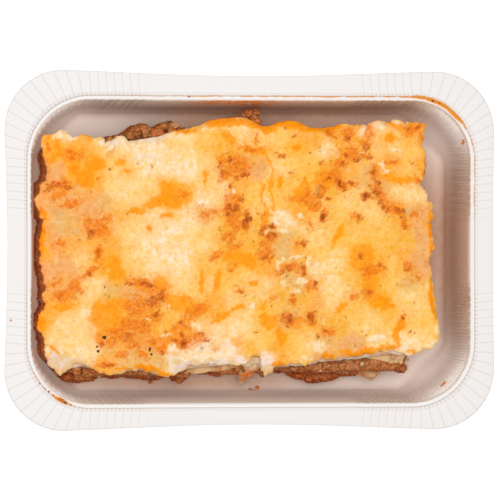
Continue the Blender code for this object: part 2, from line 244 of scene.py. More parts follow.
TOASTED = (
    (-44, -36, 2.6, 1.6), (-48.5, -39.5, 2.6, 1.2, 20), (-40, -39.5, 2.4, 1, -15), (-37, -35, 2, 1.2), (-52, -35, 2.4, 1.6, 40),
    (-67.5, 36, 2.4, 1.2, -45), (-63.5, 36, 1.6, 1, 60), (-76.5, 39.5, 3, 0.9, 90), (-57, 8, 4.8, 3.8),
    (-60.5, 11, 2, 1.3, 90), (-54, 12, 2.2, 1.8), (-71, 2.8, 2, 1.4), (-72, 21, 3.4, 1.1, 8), (-67, 17.5, 4, 1.2, 12),
    (-5.5, 32.5, 6, 4), (-10.8, 33, 2.4, 1.2, 90), (-8, 29, 3, 2.6), (-1.2, 31, 3.2, 1.8, 90), (-2, 28.6, 3, 1.1, 20),
    (1, 38.6, 3.6, 0.9, -4), (3.2, 42.5, 1.8, 0.7, 90), (-24, 21, 1.6, 1.2), (-5.5, 15.5, 6, 4.2, 100),
    (-5, 10, 3.6, 3), (-7.5, 5, 2.8, 2.6), (-0.6, 11, 4.6, 1.7, 80), (6, 12.5, 1.8, 0.8, 90), (6.3, 8, 2.2, 1.5, 60),
    (9.5, 9, 1.9, 1.1, 10), (8.8, 5, 3, 2, 20), (6, 2.8, 2.6, 2), (17, 19.5, 1.5, 0.9), (21, 19.5, 1.4, 0.9),
    (23.6, 20, 3.6, 1.5, 90), (24, 10, 1.8, 0.9, 90), (-16.6, 14, 2.4, 1.8, -30), (-13, 15, 1.4, 1),
    (32, 44.4, 3, 1.6, -35), (39, 44.6, 3, 1.9), (47, 45, 2.8, 2.2, 90), (46, 41, 3, 1.9), (40, 36.8, 5, 2.6),
    (45.5, 36.6, 2.6, 1.6), (36, 33, 2.8, 1.9, 20), (34, 30.6, 2.6, 0.8, 8), (33, 28, 4.4, 2.6, 10),
    (28, 22, 3.6, 1.8, 52), (26, 17, 2.6, 2.6), (36, 25, 2.4, 1.7), (41, 25.2, 2.4, 1.3), (49, 29.4, 2.8, 2.2, 90),
    (50, 24, 2.8, 2.6), (46, 20.4, 2.6, 1.3, -8), (51.6, 20, 3.8, 2.4, -60), (54.6, 16.4, 3.4, 2.2, -35),
    (58.4, 14.4, 3.4, 1.8, -30), (61, 10, 2.8, 1.7, -40), (64.4, 14, 1.8, 1.2), (65, 46.8, 4, 1.7, 8),
    (63, 45, 1.9, 1.8), (67.6, 43, 2.4, 0.9, 100), (69, 31.4, 3.8, 0.9, 84), (56, 33.6, 2.8, 1.1),
    (66, 26.4, 2, 0.8, -20), (42, 12.4, 2.6, 1.3, -45), (29.4, 13.4, 2.4, 1.7, 80), (31.4, 19.4, 1.4, 1.2),
    (-70, -17, 5, 2.4), (-66, -14, 3, 2.6, 20), (-73, -12.4, 3, 0.8, 25), (-61.8, -9, 2.8, 1.2, 35),
    (-57, -1, 2.6, 1.5, 90), (-59, -6.8, 2.6, 0.9, 25), (-41, -12, 6, 1.8, -6), (-36, -16, 3.8, 3.6),
    (-42, -22, 4.6, 4.4), (-37, -21, 3.8, 3.8), (-45, -28, 4.6, 3), (-39.5, -29, 3.6, 2), (-37, -25.4, 3.8, 2),
    (-32.4, -17, 3.6, 1.8, 90), (-50, -31, 3.8, 2), (-46, -33, 2.6, 1.9), (-54, -43, 3.8, 1.1), (-22, -25, 3, 2.4, 30),
    (-18.6, -22, 3.6, 1.9, 15), (-25, -28, 1.9, 1.4, 90), (-24.6, -35, 3.4, 2.6, -20), (-28, -34, 2, 0.9),
    (-18.6, -33, 2.8, 2.2), (-13.2, -37.2, 1.2, 0.6), (7, -1, 3.8, 2.6, 90), (-5, 1.5, 2.8, 1.3, 8),
    (-12, -2.2, 3, 1.1, 35), (-6.8, -7, 1.2, 1), (-3, -15.6, 1.5, 0.9), (12, -8.4, 2, 1.2, 30),
    (17, -6.8, 3.8, 1.9), (21.4, -7, 2.6, 1.5, 90), (17.2, -18.6, 2, 1.4, 90), (9.6, -18.4, 1.4, 0.9),
    (15.4, -26, 3.8, 2.3, -10), (24.6, -13.4, 2.4, 2), (24.5, -26, 3, 2.1, 70), (43.6, -2, 1.3, 1.1, -20),
    (47.6, -7.8, 4, 2.2, 10), (51.4, -6, 1.9, 1.3), (46.6, -15.4, 2, 1.4, 20), (41, -18, 1.8, 0.9),
    (62, -6.8, 2.8, 1.7, 110), (66, -10.6, 1.4, 0.9), (31, -31, 2.8, 1.8), (60.4, -25.4, 1.8, 0.9, 50),
)
CAUGHT = (
    (-72.5, 24.8, 5.5, 1.2, 8), (-76, 22.8, 2.6, 1, 20), (-60.2, 6.2, 1.9, 1.5), (-68, 23.9, 2.2, 0.9, 12),
    (-6.4, 34.6, 1.2, 1), (-1.4, 29, 1.6, 1.4), (-4.8, 27.2, 1.2, 0.9), (-11, 33, 1.2, 0.9), (-9.8, 30, 1.2, 0.7, 100),
    (-2.6, 20, 1.2, 0.9, 70), (-6, 16, 2.2, 1.6), (-7, 13.6, 1.3, 0.8, 100), (-0.4, 12, 3, 1.2, 80),
    (5.8, 6.8, 1.5, 1.2, 60), (9.5, 8.9, 1.6, 0.8, 10), (9.4, 5.2, 1.9, 1.2, 30), (18.3, 43.4, 0.9, 0.8),
    (15, 46.2, 0.9, 0.7), (12.6, 36.2, 1.9, 0.7, -20), (17, 29.6, 1.1, 1), (21.6, 2.2, 1.5, 1.2), (19, 2.4, 0.6, 0.5),
    (38.6, 42.4, 1.1, 1), (31.8, 44.9, 1.6, 0.7, -20), (34.2, 43.4, 0.9, 0.8), (46.2, 39.3, 1.6, 0.9, 15),
    (37.6, 36.4, 1.3, 1), (36.9, 33, 1.3, 0.7, 60), (41.6, 33.8, 1.2, 0.8), (47.6, 35.6, 1, 0.8), (28, 33.8, 1.3, 0.9),
    (35.4, 25.4, 1.4, 1.1), (36.5, 23.6, 0.8, 0.7), (40, 25.5, 1.5, 0.9), (48.6, 30, 1.7, 1.1, 90),
    (51, 25.4, 1.5, 1), (50, 22, 1.7, 1.4), (45.8, 20.2, 1.4, 0.9), (51.6, 19, 1.7, 1, 100), (53, 16, 1.4, 1),
    (57.6, 15, 1.8, 1.2), (60, 15.2, 1, 0.9), (61.5, 8.6, 1.1, 1), (31.5, 19.4, 1, 0.9), (29.4, 13, 1.6, 1.2, 90),
    (27.6, 21, 1.3, 0.6, 52), (29, 24.4, 1, 0.5, 52), (42, 11.8, 1.2, 0.9), (62, 46.6, 0.9, 0.7), (66, 47.3, 1.8, 0.8, 15),
    (68.9, 30, 1.6, 0.7, 84), (-46, -33, 1.6, 1.4), (-45.3, -12.7, 2.2, 0.6), (-39, -12.6, 2.6, 0.9, -8),
    (-36.6, -19.4, 1.9, 1.5), (-33.8, -17.6, 2.2, 1.5, 90), (-35, -24, 1.6, 1.2), (-32.4, -38.9, 1.1, 0.9),
    (-56, -35.4, 1.1, 0.9), (-57, -0.8, 1.3, 0.8, 90), (-53, -43, 1.8, 0.6), (-25.5, -28, 1, 0.9), (-24.5, -35.4, 2.2, 1.8),
    (-25, -32, 1.1, 0.7, 90), (-28, -34, 1.1, 0.6), (-18.3, -31.4, 0.9, 0.6), (-16, -34.3, 1.2, 0.6), (-31, -31, 1.1, 0.6),
    (9.8, -2.3, 0.9, 0.6, 110), (7.2, -3.4, 1.2, 1), (12.4, -9, 1.1, 0.7), (15, -7.8, 1.5, 0.9, 90), (21.3, -7, 1.7, 0.9, 90),
    (17.3, -19.4, 1.1, 0.9), (16.5, -26, 2.2, 1.3), (15.6, -28.6, 0.8, 0.5), (4.2, -31.5, 1, 0.6), (26.1, -12.8, 1.8, 0.8, 90),
    (24.4, -26, 1.9, 1.3, 70), (46.8, -15.5, 1, 0.8), (43.5, -2, 0.9, 0.8), (62.2, -8, 0.9, 0.6), (31, -30.7, 1, 0.7),
)
SPOTS = (
    (-53, 31.6, 0.6), (-57, 27, 0.5), (-60, 22.4, 0.5), (-36.2, 31.8, 0.7), (-42, 32.5, 0.6), (-46, 13.5, 0.4),
    (-64, 4, 0.5), (-7, 24, 0.9), (0, 11.4, 1.2), (-10.5, 8, 0.4), (2, 3.4, 0.4), (19.4, 26.7, 0.4), (21.8, 27.3, 0.4),
    (23.5, 32.6, 0.35), (18.5, 31.2, 0.3), (16, 3.7, 0.4), (-17.2, 17.7, 0.35), (12.5, 21, 0.3), (8.5, 12.8, 0.3),
    (4, 13.7, 0.35), (28, 40, 0.5), (28.5, 38.2, 0.4), (25, 36.4, 0.5), (43.5, 34.5, 0.4), (32, 33.7, 0.35),
    (30.7, 27.2, 0.6), (60, 12, 0.4), (29.2, 12.8, 0.9), (51.6, 25.4, 0.6), (43.8, 11, 0.35), (54, 12.2, 0.35),
    (52.5, 12.8, 0.35), (60, 15.4, 0.6), (64, 34, 0.4), (-37.5, -13.3, 0.45), (-39.5, -28.7, 0.5), (-43, -18, 0.4),
    (-32.5, -38.8, 0.5), (-60.5, -9, 0.5), (-55, -14.3, 0.35), (-52.4, -17.3, 0.4), (-72, -18, 0.5), (-25.5, -24.6, 0.35),
    (-17.6, -37.3, 0.4), (-3, -15.7, 0.4), (14.8, -10, 0.35), (9.5, -21, 0.4), (13, -24.3, 0.45), (1.2, -22, 0.3),
    (22.5, -2.5, 0.35), (26.3, -23.4, 0.45), (27.6, -23.2, 0.4), (27.4, -32.8, 0.55), (44.8, -30.8, 0.45),
    (45.7, -32.5, 0.5), (41.4, -36.4, 0.5), (51, -5.8, 0.4), (54.3, -7.7, 0.35), (57.8, -12.5, 0.4), (63.2, -4.7, 0.45),
    (65.7, -10, 0.5), (63.3, -31.5, 0.35), (65.2, -31.7, 0.35), (34, -7, 0.3), (64.5, -20.3, 0.4), (47.5, -30.5, 0.3),
    (60.3, -26, 0.7), (38.8, -25.5, 0.35), (33.5, -24, 0.3), (-50, -12.6, 0.3), (-24.4, -35.6, 0.9), (24.6, -26.2, 0.7),
    (-12, 31, 0.4), (45.6, 20.2, 0.7), (26.1, -12.6, 0.6), (35.5, 25.4, 0.6), (68, 0.5, 0.4), (-53.6, -16.4, 0.3),
)
PEPPER = (
    (-54.7, -33, 0.75), (-57.5, -36.5, 0.6), (-57, -38.3, 0.75), (-37.2, -37.2, 0.45), (-37.4, -38, 0.4), (-36.7, -39.5, 0.5),
)
CREAM_LUMPS = (
    (-72, 43.4, 2.4, 1.2, 10), (-67.4, 43, 2.7, 1.8, -35), (-39.5, 39, 6.5, 3, 4), (-33.5, 38, 3, 3.4, 20), (-53, 38.6, 2.2, 0.9, 40),
    (-55.4, 41.2, 1.5, 1.3), (-15, 47.4, 2.9, 1.7), (-17.3, 19, 1.7, 1.3), (6.6, 19.6, 3, 0.9, -65), (9, 14.6, 3, 0.9, -50),
    (13, 11.4, 3.4, 1.7), (13.4, 7.6, 1.8, 1.3), (8, 7, 1.5, 0.9, 70), (-5.6, 22.4, 1.1, 0.9), (20.6, 13.4, 1.4, 1.2),
    (38.6, 48.2, 1.6, 0.7), (44.8, 46, 2, 1.4, 90), (51, 47.6, 2.6, 1), (57.4, 49, 2, 0.9), (44.6, 37.8, 1.7, 0.6),
    (52.3, 32.4, 1.6, 0.9, -60), (54, 30.3, 0.8, 0.7), (66.3, 18.8, 1.4, 0.9), (57.5, 38.2, 2.8, 0.8),
    (-76.4, -38.4, 2.6, 0.9, 105), (-30, -22, 1.2, 0.6, 90), (-31, -32.2, 2.4, 0.5, 12),
    (-28.4, -37.4, 3, 1.6, -35), (-38, -26, 0.9, 0.6), (-62, -24, 2.6, 1.7, 90), (-16, -40.3, 12.5, 2.2, 1),
    (-7, -38.4, 4, 1.6, 10), (-19.4, -28.6, 2.2, 1.8), (1.8, -20.9, 1.4, 0.9, 20), (-5, -26, 2.6, 0.5, 15),
    (13.2, -4, 3, 0.9, 35), (18.4, -2.4, 3, 0.8, 8), (23.4, -4, 2.2, 1.2, 90), (27, -5.4, 1.6, 1.2, 90), (14, -12, 1.8, 1.4, 90),
    (21, -12.2, 2.2, 1.8), (18, -15.6, 3, 0.7, 12), (11.4, -6.6, 1.8, 0.9, 90), (27, -36.6, 3.8, 2.4), (22.4, -41.4, 3, 1),
    (50, -34, 4.2, 1.2), (74, -30, 2.8, 0.8, 90), (71.6, -36.2, 3, 1.1, 25), (62.4, -36, 3, 1.6), (-3, -43, 3, 1.2, 20),
)
HERBS = ((-73, 14, 2, 1.4), (62, 15, 2.6, 1.2, 22), (-71, 28, 1, 0.6), (27.4, 23, 2.6, 0.7, 52), (-66, 7, 1.4, 1))
VEINS = (
    ((6.4, 37), (8, 34.5), (9.2, 32), (10.6, 30.6)),
    ((9.9, 30), (9, 28), (9.4, 25.5), (9, 22), (9.6, 19), (10, 15)),
    ((5, 26), (6.6, 24), (5.2, 21), (6, 18.5), (7.2, 16.5), (7.3, 13), (6.4, 10)),
)
print(len(POOLS_OF_FAT) + len(TOASTED) + len(CAUGHT) + len(CREAM_LUMPS), "patches,", len(SPOTS), "spots")

# %% From patches to maps
def spread(x, y, patches, soft, fray):
    """How much of a finish lies at each place: 1 inside its ellipses, 0 outside, over a soft, frayed edge."""
    amount = np.zeros(np.shape(x))
    for px, py, half_length, half_width, *turn in patches:
        angle = math.radians(turn[0]) if turn else 0.0
        along = ((x - px) * math.cos(angle) + (y - py) * math.sin(angle)) / half_length
        across = ((y - py) * math.cos(angle) - (x - px) * math.sin(angle)) / half_width
        inside = 1.0 - np.hypot(along, across) + fray
        amount = np.maximum(amount, smooth(inside / soft + 0.5))
    return amount


def grown(patches, extra):
    """The same patches with their half lengths and widths enlarged by some millimetres."""
    return [(x, y, a + extra, b + extra, *turn) for x, y, a, b, *turn in patches]


def along_path(x, y, path, width):
    """1 on a line through some points and 0 beyond its width: from the distance to each stretch."""
    nearest = np.full(np.shape(x), 99.0)
    for (ax, ay), (bx, by) in zip(path, path[1:]):
        length = math.hypot(bx - ax, by - ay)
        share = np.clip(((x - ax) * (bx - ax) + (y - ay) * (by - ay)) / length**2, 0.0, 1.0)
        nearest = np.minimum(nearest, np.hypot(x - ax - share * (bx - ax), y - ay - share * (by - ay)))
    return smooth(1.5 - nearest / width)


TONE_EDGE = 1.6  # the higher, the sharper the change from one tone to the next
GRAIN = np.array([0.05, 0.22, 0.7])  # how much the grain changes red, green and blue
AVERAGE = np.array([0.93, 0.45, 0.13])  # the average light from the whole top
WARMER = (1.0, 0.97, 0.8)
BELOW = (1.0, 1.2, 1.6)  # powers that push colours darker than the average further from it
ABOVE = (1.0, 0.95, 1.0)  # and powers that draw paler ones in


def tone_map(x, y):
    """The cheese's own colour: each named tone weighs in by a bell round its places, then all share."""
    weight = np.full(np.shape(x), 0.002)
    total = weight[..., None] * linear("gold")
    for name, places in TONES.items():
        for px, py, reach in places:
            bell = np.exp(-TONE_EDGE * ((x - px) ** 2 + (y - py) ** 2) / reach**2)
            weight = weight + bell
            total = total + bell[..., None] * linear(name)
    return total / weight[..., None]


def paint(colour, name, amount):
    """The colours with a named one laid over them, as thickly as the amount says."""
    return blend(colour, linear(name), np.clip(amount, 0.0, 1.0)[..., None])


def cheese_maps(x, y):
    """Colour, height and gloss of the baked top at any places, in millimetres from the middle."""
    wx = x + 1.3 * layered_noise(x, y, 5.0, 11) + 0.9 * layered_noise(x, y, 1.5, 21)
    wy = y + 1.3 * layered_noise(x, y, 5.0, 31) + 0.9 * layered_noise(x, y, 1.5, 41)
    fine = layered_noise(x, y, 1.6, 51)
    broad = layered_noise(x, y, 7.0, 61)
    middling = layered_noise(x, y, 3.2, 66)

    fat = spread(wx, wy, POOLS_OF_FAT, 0.6, 0.35 * middling)
    fat_halo = spread(wx, wy, grown(POOLS_OF_FAT, 2.0), 1.6, 0.5 * middling)
    edge_fat = spread(wx, wy, EDGE_FAT, 0.6, 0.2 * broad)
    for vein in VEINS:
        edge_fat = np.maximum(edge_fat, 0.8 * along_path(wx, wy, vein, 0.65))
    toast = spread(wx, wy, TOASTED, 0.8, 0.6 * fine + 0.5 * middling)
    toast_halo = spread(wx, wy, grown(TOASTED, 2.2), 1.8, 0.6 * middling)
    caught = spread(wx, wy, CAUGHT, 0.7, 0.8 * fine)
    lumps = spread(wx, wy, CREAM_LUMPS, 0.9, 0.35 * fine + 0.2 * middling)
    herbs = spread(wx, wy, HERBS, 0.8, 0.5 * fine)
    circles = [(px, py, radius, radius) for px, py, radius in SPOTS]
    spots = spread(wx, wy, circles, 0.8, 0.2 * fine)

    # Shreds of cheese melted into rounded blobs, with fat in the seams between them.
    blob, blob_kind = cells(wx, wy, 4.6, 91)
    seams = smooth((blob - 0.5) / 0.35)
    tops = smooth((0.42 - blob) / 0.3) * (blob_kind > 0.45)
    # Specks of three sizes gather where the top is toasted, and a few lie anywhere.
    specks = np.zeros_like(x)
    for size, seed, scattered, gathered in ((2.1, 71, 0.03, 0.5), (1.3, 76, 0.06, 0.5), (0.8, 81, 0.1, 0.4)):
        distance, number = cells(wx, wy, size, seed)
        chosen = number < scattered + gathered * toast_halo + 0.4 * toast
        specks = np.maximum(specks, smooth((0.2 + 0.3 * number - distance) / 0.2) * chosen)
    granule, _ = cells(wx, wy, 1.2, 86)
    granules = smooth((0.62 - granule) / 0.35)

    colour = tone_map(wx, wy)
    colour = paint(colour, "amber", 0.24 * seams * smooth(0.5 + 1.5 * broad))
    colour = paint(colour, "cream", 0.3 * tops * smooth(0.4 - 2.0 * broad))
    colour = paint(colour, "honey", 0.35 * smooth((broad + 0.4 * fine - 0.1) / 0.3))
    colour = paint(colour, "amber", 0.45 * fat_halo)
    colour = paint(colour, "deep_amber", 0.85 * fat)
    colour = paint(colour, "apricot", 0.45 * toast_halo)
    colour = paint(colour, "orange", toast * (0.5 + 0.4 * granules))
    colour = paint(colour, "cream", 0.5 * lumps * (1.0 - 0.4 * toast))
    colour = paint(colour, "pale", 0.7 * smooth(lumps * 1.6 - 0.7))
    colour = paint(colour, "deep_amber", 0.9 * edge_fat)
    colour = paint(colour, "rust", caught * (0.5 + 0.4 * granules))
    colour = paint(colour, "herb", 0.4 * herbs)
    colour = paint(colour, "rust", 0.5 * specks * (1.0 - 0.8 * lumps))
    colour = paint(colour, "brown", 0.5 * specks * caught)
    colour = paint(colour, "brown", 0.8 * spots)
    light_grain, _ = cells(x, y, 0.9, 96)
    grainy = 0.8 * fine + 0.6 * middling + 0.5 * (0.45 - light_grain)
    colour = colour * (1.0 + grainy[..., None] * GRAIN)
    share = np.maximum(colour, 1e-3) / AVERAGE
    warmth = blend(np.array(WARMER), 1.0, smooth((share[..., 2:] - 2.5) / 2.5))
    colour = AVERAGE * warmth * share ** np.where(share < 1.0, BELOW, ABOVE)

    height = 0.34 * broad + 0.14 * middling + 0.08 * fine + 0.32 * lumps + 0.15 * caught * granules - 0.15 * spots
    height += 0.2 * edge_fat - 0.12 * fat + 0.22 * tops - 0.1 * seams
    gloss = np.clip(0.35 + 0.5 * np.maximum(fat, edge_fat) - 0.2 * caught, 0.0, 1.0)
    return colour, height, gloss

# %% [markdown]
# ## The cheese as a surface
# The melted top could be a subdivided box with sculpted edges, but a grid spanned between four
# drawn edges keeps every point evenly spaced, so the maps above lie on it without stretching.
# The four edges are drawn, because each side of a cut slab breaks in its own way, and a
# Coons patch fills them. A skirt then rolls the border down and under, and closes the piece.

# %% Building meshes from arrays
def new_piece(name, points, quads, triangles, colour=None, values=None, uv=None):
    """An object from points in millimetres and from whole arrays of faces, smooth all over.

    Colour is an attribute with a value at each point, and so is each entry of values.
    """
    mesh = bpy.data.meshes.new(name)
    mesh.vertices.add(len(points))
    mesh.vertices.foreach_set("co", (points * MM).astype(np.float32).ravel())
    corners = np.concatenate([np.ravel(quads), np.ravel(triangles)]).astype(np.int32)
    mesh.loops.add(len(corners))
    mesh.loops.foreach_set("vertex_index", corners)
    quad_starts = 4 * np.arange(len(quads))
    triangle_starts = 4 * len(quads) + 3 * np.arange(len(triangles))
    starts = np.concatenate([quad_starts, triangle_starts]).astype(np.int32)
    mesh.polygons.add(len(starts))
    mesh.polygons.foreach_set("loop_start", starts)
    mesh.polygons.foreach_set("use_smooth", np.ones(len(starts), bool))
    if uv is not None:
        layer = mesh.uv_layers.new(name="profile")
        layer.uv.foreach_set("vector", uv.astype(np.float32).ravel())
    mesh.update(calc_edges=True)
    if colour is not None:
        rgba = np.concatenate([colour, np.ones((len(points), 1))], axis=1).astype(np.float32)
        mesh.attributes.new("tone", "FLOAT_COLOR", "POINT").data.foreach_set("color", rgba.ravel())
    for key, value in (values or {}).items():
        mesh.attributes.new(key, "FLOAT", "POINT").data.foreach_set("value", value.astype(np.float32))
    piece = bpy.data.objects.new(name, mesh)
    bpy.context.scene.collection.objects.link(piece)
    print(name, len(points), "points,", 2 * len(quads) + len(triangles), "triangles")
    return piece


def closed_rings(rings, first, close_start, close_end):
    """Faces between closed rings of points that follow one another, from point number `first` on.

    Rings turn anticlockwise when seen from outside the start. The middles that close the two ends
    are the two points after the last ring.
    """
    count, columns = rings
    here = first + np.arange(columns)
    after = first + (np.arange(columns) + 1) % columns
    steps = (np.arange(count - 1) * columns)[:, None]
    quads = np.stack([here + steps, here + steps + columns, after + steps + columns, after + steps], axis=-1)
    triangles = []
    start_middle = first + count * columns
    if close_start:
        triangles.append(np.stack([np.full(columns, start_middle), here, after], axis=-1))
    if close_end:
        last = (count - 1) * columns
        triangles.append(np.stack([np.full(columns, start_middle + 1), after + last, here + last], axis=-1))
    triangles = np.concatenate(triangles) if triangles else np.zeros((0, 3), int)
    return quads.reshape(-1, 4), triangles


def evenly(line, count, closed=False):
    """Points spaced evenly along a line through the given ones: interpolated by the distance so far."""
    line = np.array(line, float)
    if closed:
        line = np.concatenate([line, line[:1]])
    along = np.concatenate([[0.0], np.cumsum(np.linalg.norm(np.diff(line, axis=0), axis=1))])
    at = np.linspace(0.0, along[-1], count + closed)[: count]
    return np.stack([np.interp(at, along, line[:, i]) for i in range(line.shape[1])], axis=1)


# %% Shape of the top
# The four broken edges, in millimetres from the middle of the tray.
BACK_EDGE = (
    (-77.5, 44), (-74, 43.8), (-71, 45.2), (-69, 45), (-66, 43), (-61, 43.6), (-59, 42.4), (-56, 43), (-54.2, 40.4),
    (-52, 41), (-49.5, 43.3), (-47, 43.2), (-45.6, 41.2), (-40, 42), (-33, 43.2), (-28, 45.2), (-22, 46.2),
    (-18, 47.4), (-14, 49.3), (-9, 50.1), (-3, 50.4), (0, 50.2), (3, 48.7), (6, 47), (9, 47.2), (12, 48.6),
    (16, 49.3), (20, 48.8), (24, 46.7), (28, 46.4), (34, 47.1), (38, 48.3), (42, 47.6), (46, 47.9), (49, 49.1),
    (52, 49.2), (54, 48.4), (57, 49.8), (60, 49.4), (61, 47.2), (62.3, 48.9), (66, 48.9), (69.6, 48.3),
)
RIGHT_EDGE = (
    (69.6, 48.3), (68.2, 43), (67.9, 39), (69.3, 36), (69, 31), (68.2, 27), (67, 25), (69, 22.4), (69.9, 19.2),
    (71.5, 18.6), (72, 15), (71.5, 10), (72.1, 5), (72.4, 0), (70.8, -3), (70.2, -5), (71.6, -8.5), (72.4, -15),
    (73, -22), (74.4, -27), (74.8, -32.5), (73.8, -35.4),
)
FRONT_EDGE = (
    (-74.5, -44.8), (-71, -47.2), (-68, -45), (-66, -42.6), (-62, -43.2), (-58, -45.2), (-54, -46.8), (-50, -47),
    (-46, -46), (-41, -45), (-36, -46), (-33, -47.3), (-30, -48.4), (-27, -46.6), (-23, -44), (-18, -43), (-10, -43.2),
    (-4, -43.8), (-1, -43.2), (2, -40.9), (5, -40.2), (5.7, -45.5), (7.2, -47.3), (9.5, -46.6), (10.6, -44.2),
    (15, -43.1), (20, -42.9), (22, -43.5), (26, -42.2), (29, -40.9), (33, -41.3), (40, -41), (46, -40),
    (51, -38.7), (56, -38), (59, -38.6), (62, -39.9), (66, -39.5), (68.6, -38), (71, -37.4), (73.8, -35.4),
)
LEFT_EDGE = (
    (-77.5, 44), (-78.5, 39.5), (-77.4, 36), (-76.3, 32), (-77, 26.5), (-79.3, 24.4), (-79, 22), (-80.5, 19),
    (-79.8, 16), (-79.4, 13), (-77.6, 11.5), (-78, 8), (-79, 4), (-79, -2), (-78.1, -8), (-77.6, -12), (-77, -15),
    (-78, -18.4), (-76.6, -20), (-77.2, -22.4), (-79.8, -26), (-80, -29), (-78.2, -31.6), (-77, -35),
    (-77.4, -39.5), (-74.5, -44.8),
)
ACROSS, ALONG = 236, 372  # squares of the grid
CREST = cheese_high[2]  # height of the top at its middle
SAG = 2.0
SAG_REACH = (74.5, 46.0)
SLAB_MIDDLE = (-2.5, -0.7)
FRAY, FRAY_SIZE, FRAY_DEPTH = 1.1, 2.8, 4.0
# The skirt: how far each ring lies outside the border and below it.
SKIRT = ((0.1, -0.12), (0.2, -0.4), (0.24, -0.9), (0.16, -1.6), (-0.1, -2.3), (-0.6, -2.9), (-1.4, -3.2))


def frayed(plan, from_edge):
    """Places moved by noise near the border and not at all further in; the fatty back ridge is smooth."""
    x, y = plan.T
    ridge = smooth((y - 38.0) / 4.0) * smooth((x + 52.0) / 6.0) * smooth((36.0 - x) / 6.0)
    amount = FRAY * smooth(1.0 - from_edge / FRAY_DEPTH) * (1.0 - 0.8 * ridge)
    push = np.stack([layered_noise(x, y, FRAY_SIZE, seed) for seed in (101, 121)], axis=1)
    return plan + amount[:, None] * push


def coons(back, front, left, right):
    """A grid between four edges: the two ruled surfaces between facing edges, added, less the
    bilinear surface of the corners. Rows run from front to back and columns from left to right."""
    u = np.linspace(0.0, 1.0, len(front))[None, :, None]
    v = np.linspace(0.0, 1.0, len(left))[:, None, None]
    ruled_up = blend(front[None], back[None], v)
    ruled_along = blend(left[:, None], right[:, None], u)
    corners = blend(blend(front[0], front[-1], u), blend(back[0], back[-1], u), v)
    return ruled_up + ruled_along - corners


def border_of(rows, columns):
    """Numbers of the grid's border points, anticlockwise from the front left corner."""
    grid = np.arange(rows * columns).reshape(rows, columns)
    return np.concatenate([grid[0, :-1], grid[:-1, -1], grid[-1, :0:-1], grid[:0:-1, 0]])


def outward_of(outline):
    """The level direction out of an anticlockwise outline at each point: its tangent turned right."""
    tangent = np.roll(outline, -3, axis=0) - np.roll(outline, 3, axis=0)
    outward = np.stack([tangent[:, 1], -tangent[:, 0]], axis=1)
    return outward / np.maximum(np.linalg.norm(outward, axis=1, keepdims=True), 1e-6)


def make_cheese():
    """The melted top: a Coons patch lifted by the maps, with its skirt and a flat underside."""
    back = evenly(BACK_EDGE, ALONG + 1)
    front = evenly(FRONT_EDGE, ALONG + 1)
    left = evenly(LEFT_EDGE, ACROSS + 1)[::-1]
    right = evenly(RIGHT_EDGE, ACROSS + 1)[::-1]
    plan = coons(back, front, left, right).reshape(-1, 2)
    rows, columns = ACROSS + 1, ALONG + 1
    row, column = np.divmod(np.arange(len(plan)), columns)
    from_edge = np.minimum(np.minimum(row, ACROSS - row), np.minimum(column, ALONG - column)) * 0.4
    plan = frayed(plan, from_edge)
    colour, relief, gloss = cheese_maps(plan[:, 0], plan[:, 1])
    away = np.hypot((plan[:, 0] - SLAB_MIDDLE[0]) / SAG_REACH[0], (plan[:, 1] - SLAB_MIDDLE[1]) / SAG_REACH[1])
    lip = 0.9 * np.clip(1.0 - from_edge / 2.4, 0.0, 1.0) ** 2
    height = CREST - 0.5 - SAG * np.minimum(away, 1.1) ** 2 + relief - lip
    top = np.column_stack([plan + MIDDLE[:2], height])

    border = border_of(rows, columns)
    outline = top[border]
    outward = outward_of(outline[:, :2])
    rings, ring_colours = [], []
    for out, down in SKIRT:
        push = out * (1.0 + 0.5 * layered_noise(outline[:, 0] + down, outline[:, 1], 1.8, 141))
        rings.append(np.column_stack([outline[:, :2] + outward * push[:, None], outline[:, 2] + down]))
        ring_colours.append(blend(colour[border], linear("cream"), 0.5 * smooth(-down / 3.0)))
    under = np.array([[*(MIDDLE[:2] + SLAB_MIDDLE), rings[-1][:, 2].mean()]])
    points = np.concatenate([top, *rings, under])
    colours = np.concatenate([colour, *ring_colours, colour[:1]])
    gloss = np.concatenate([gloss, np.tile(gloss[border], len(rings)), gloss[:1]])

    grid = np.arange(rows * columns).reshape(rows, columns)
    quads = [np.stack([grid[:-1, :-1], grid[:-1, 1:], grid[1:, 1:], grid[1:, :-1]], axis=-1).reshape(-1, 4)]
    size = len(border)
    loops = [border] + [len(top) + i * size + np.arange(size) for i in range(len(rings))]
    for upper, lower in zip(loops, loops[1:]):
        quads.append(np.stack([upper, lower, np.roll(lower, -1), np.roll(upper, -1)], axis=-1))
    last = loops[-1]
    triangles = np.stack([np.full(size, len(points) - 1), np.roll(last, -1), last], axis=-1)
    return new_piece("cheese_top", points, np.concatenate(quads), triangles, colours, {"gloss": gloss})


cheese = make_cheese()
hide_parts("cheese_topping")
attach(cheese, "root")

# %% [markdown]
# ## The layers in the cut sides
# Pasta, meat sauce and white sauce show only where the slab was cut. Each layer is a closed body
# that runs right through, like its solid, and takes its heights from that solid.
# Whole sheets could be simulated and cut, but a loft of rings round the outline gives the same
# edge and can be roughened exactly where it shows: over the rim and down the side. Where a side
# broke unevenly, a drawn line says how far the layer stands out.

# %% The well of the tray, which holds the food in
BOARD = 0.6
RIM = tray_high[2]
CORNER = np.array([61.5, 34.8])  # centre of the well's corner arcs
WELL_SHIFT = np.array([0.7, -0.6])  # the well was pressed a little off the blank's centre
WALL_FOOT, WALL_TOP = 18.5, 22.4  # radii of the corner arcs at the foot and the top of the wall
WALL_HEIGHT = RIM - 2.4
FILLET_RISE = 3.0
CORNER_BOWL = 11.0  # how far in from the wall's top the floor ends on a corner's diagonal
CLEARANCE = 0.6  # between the food and the board


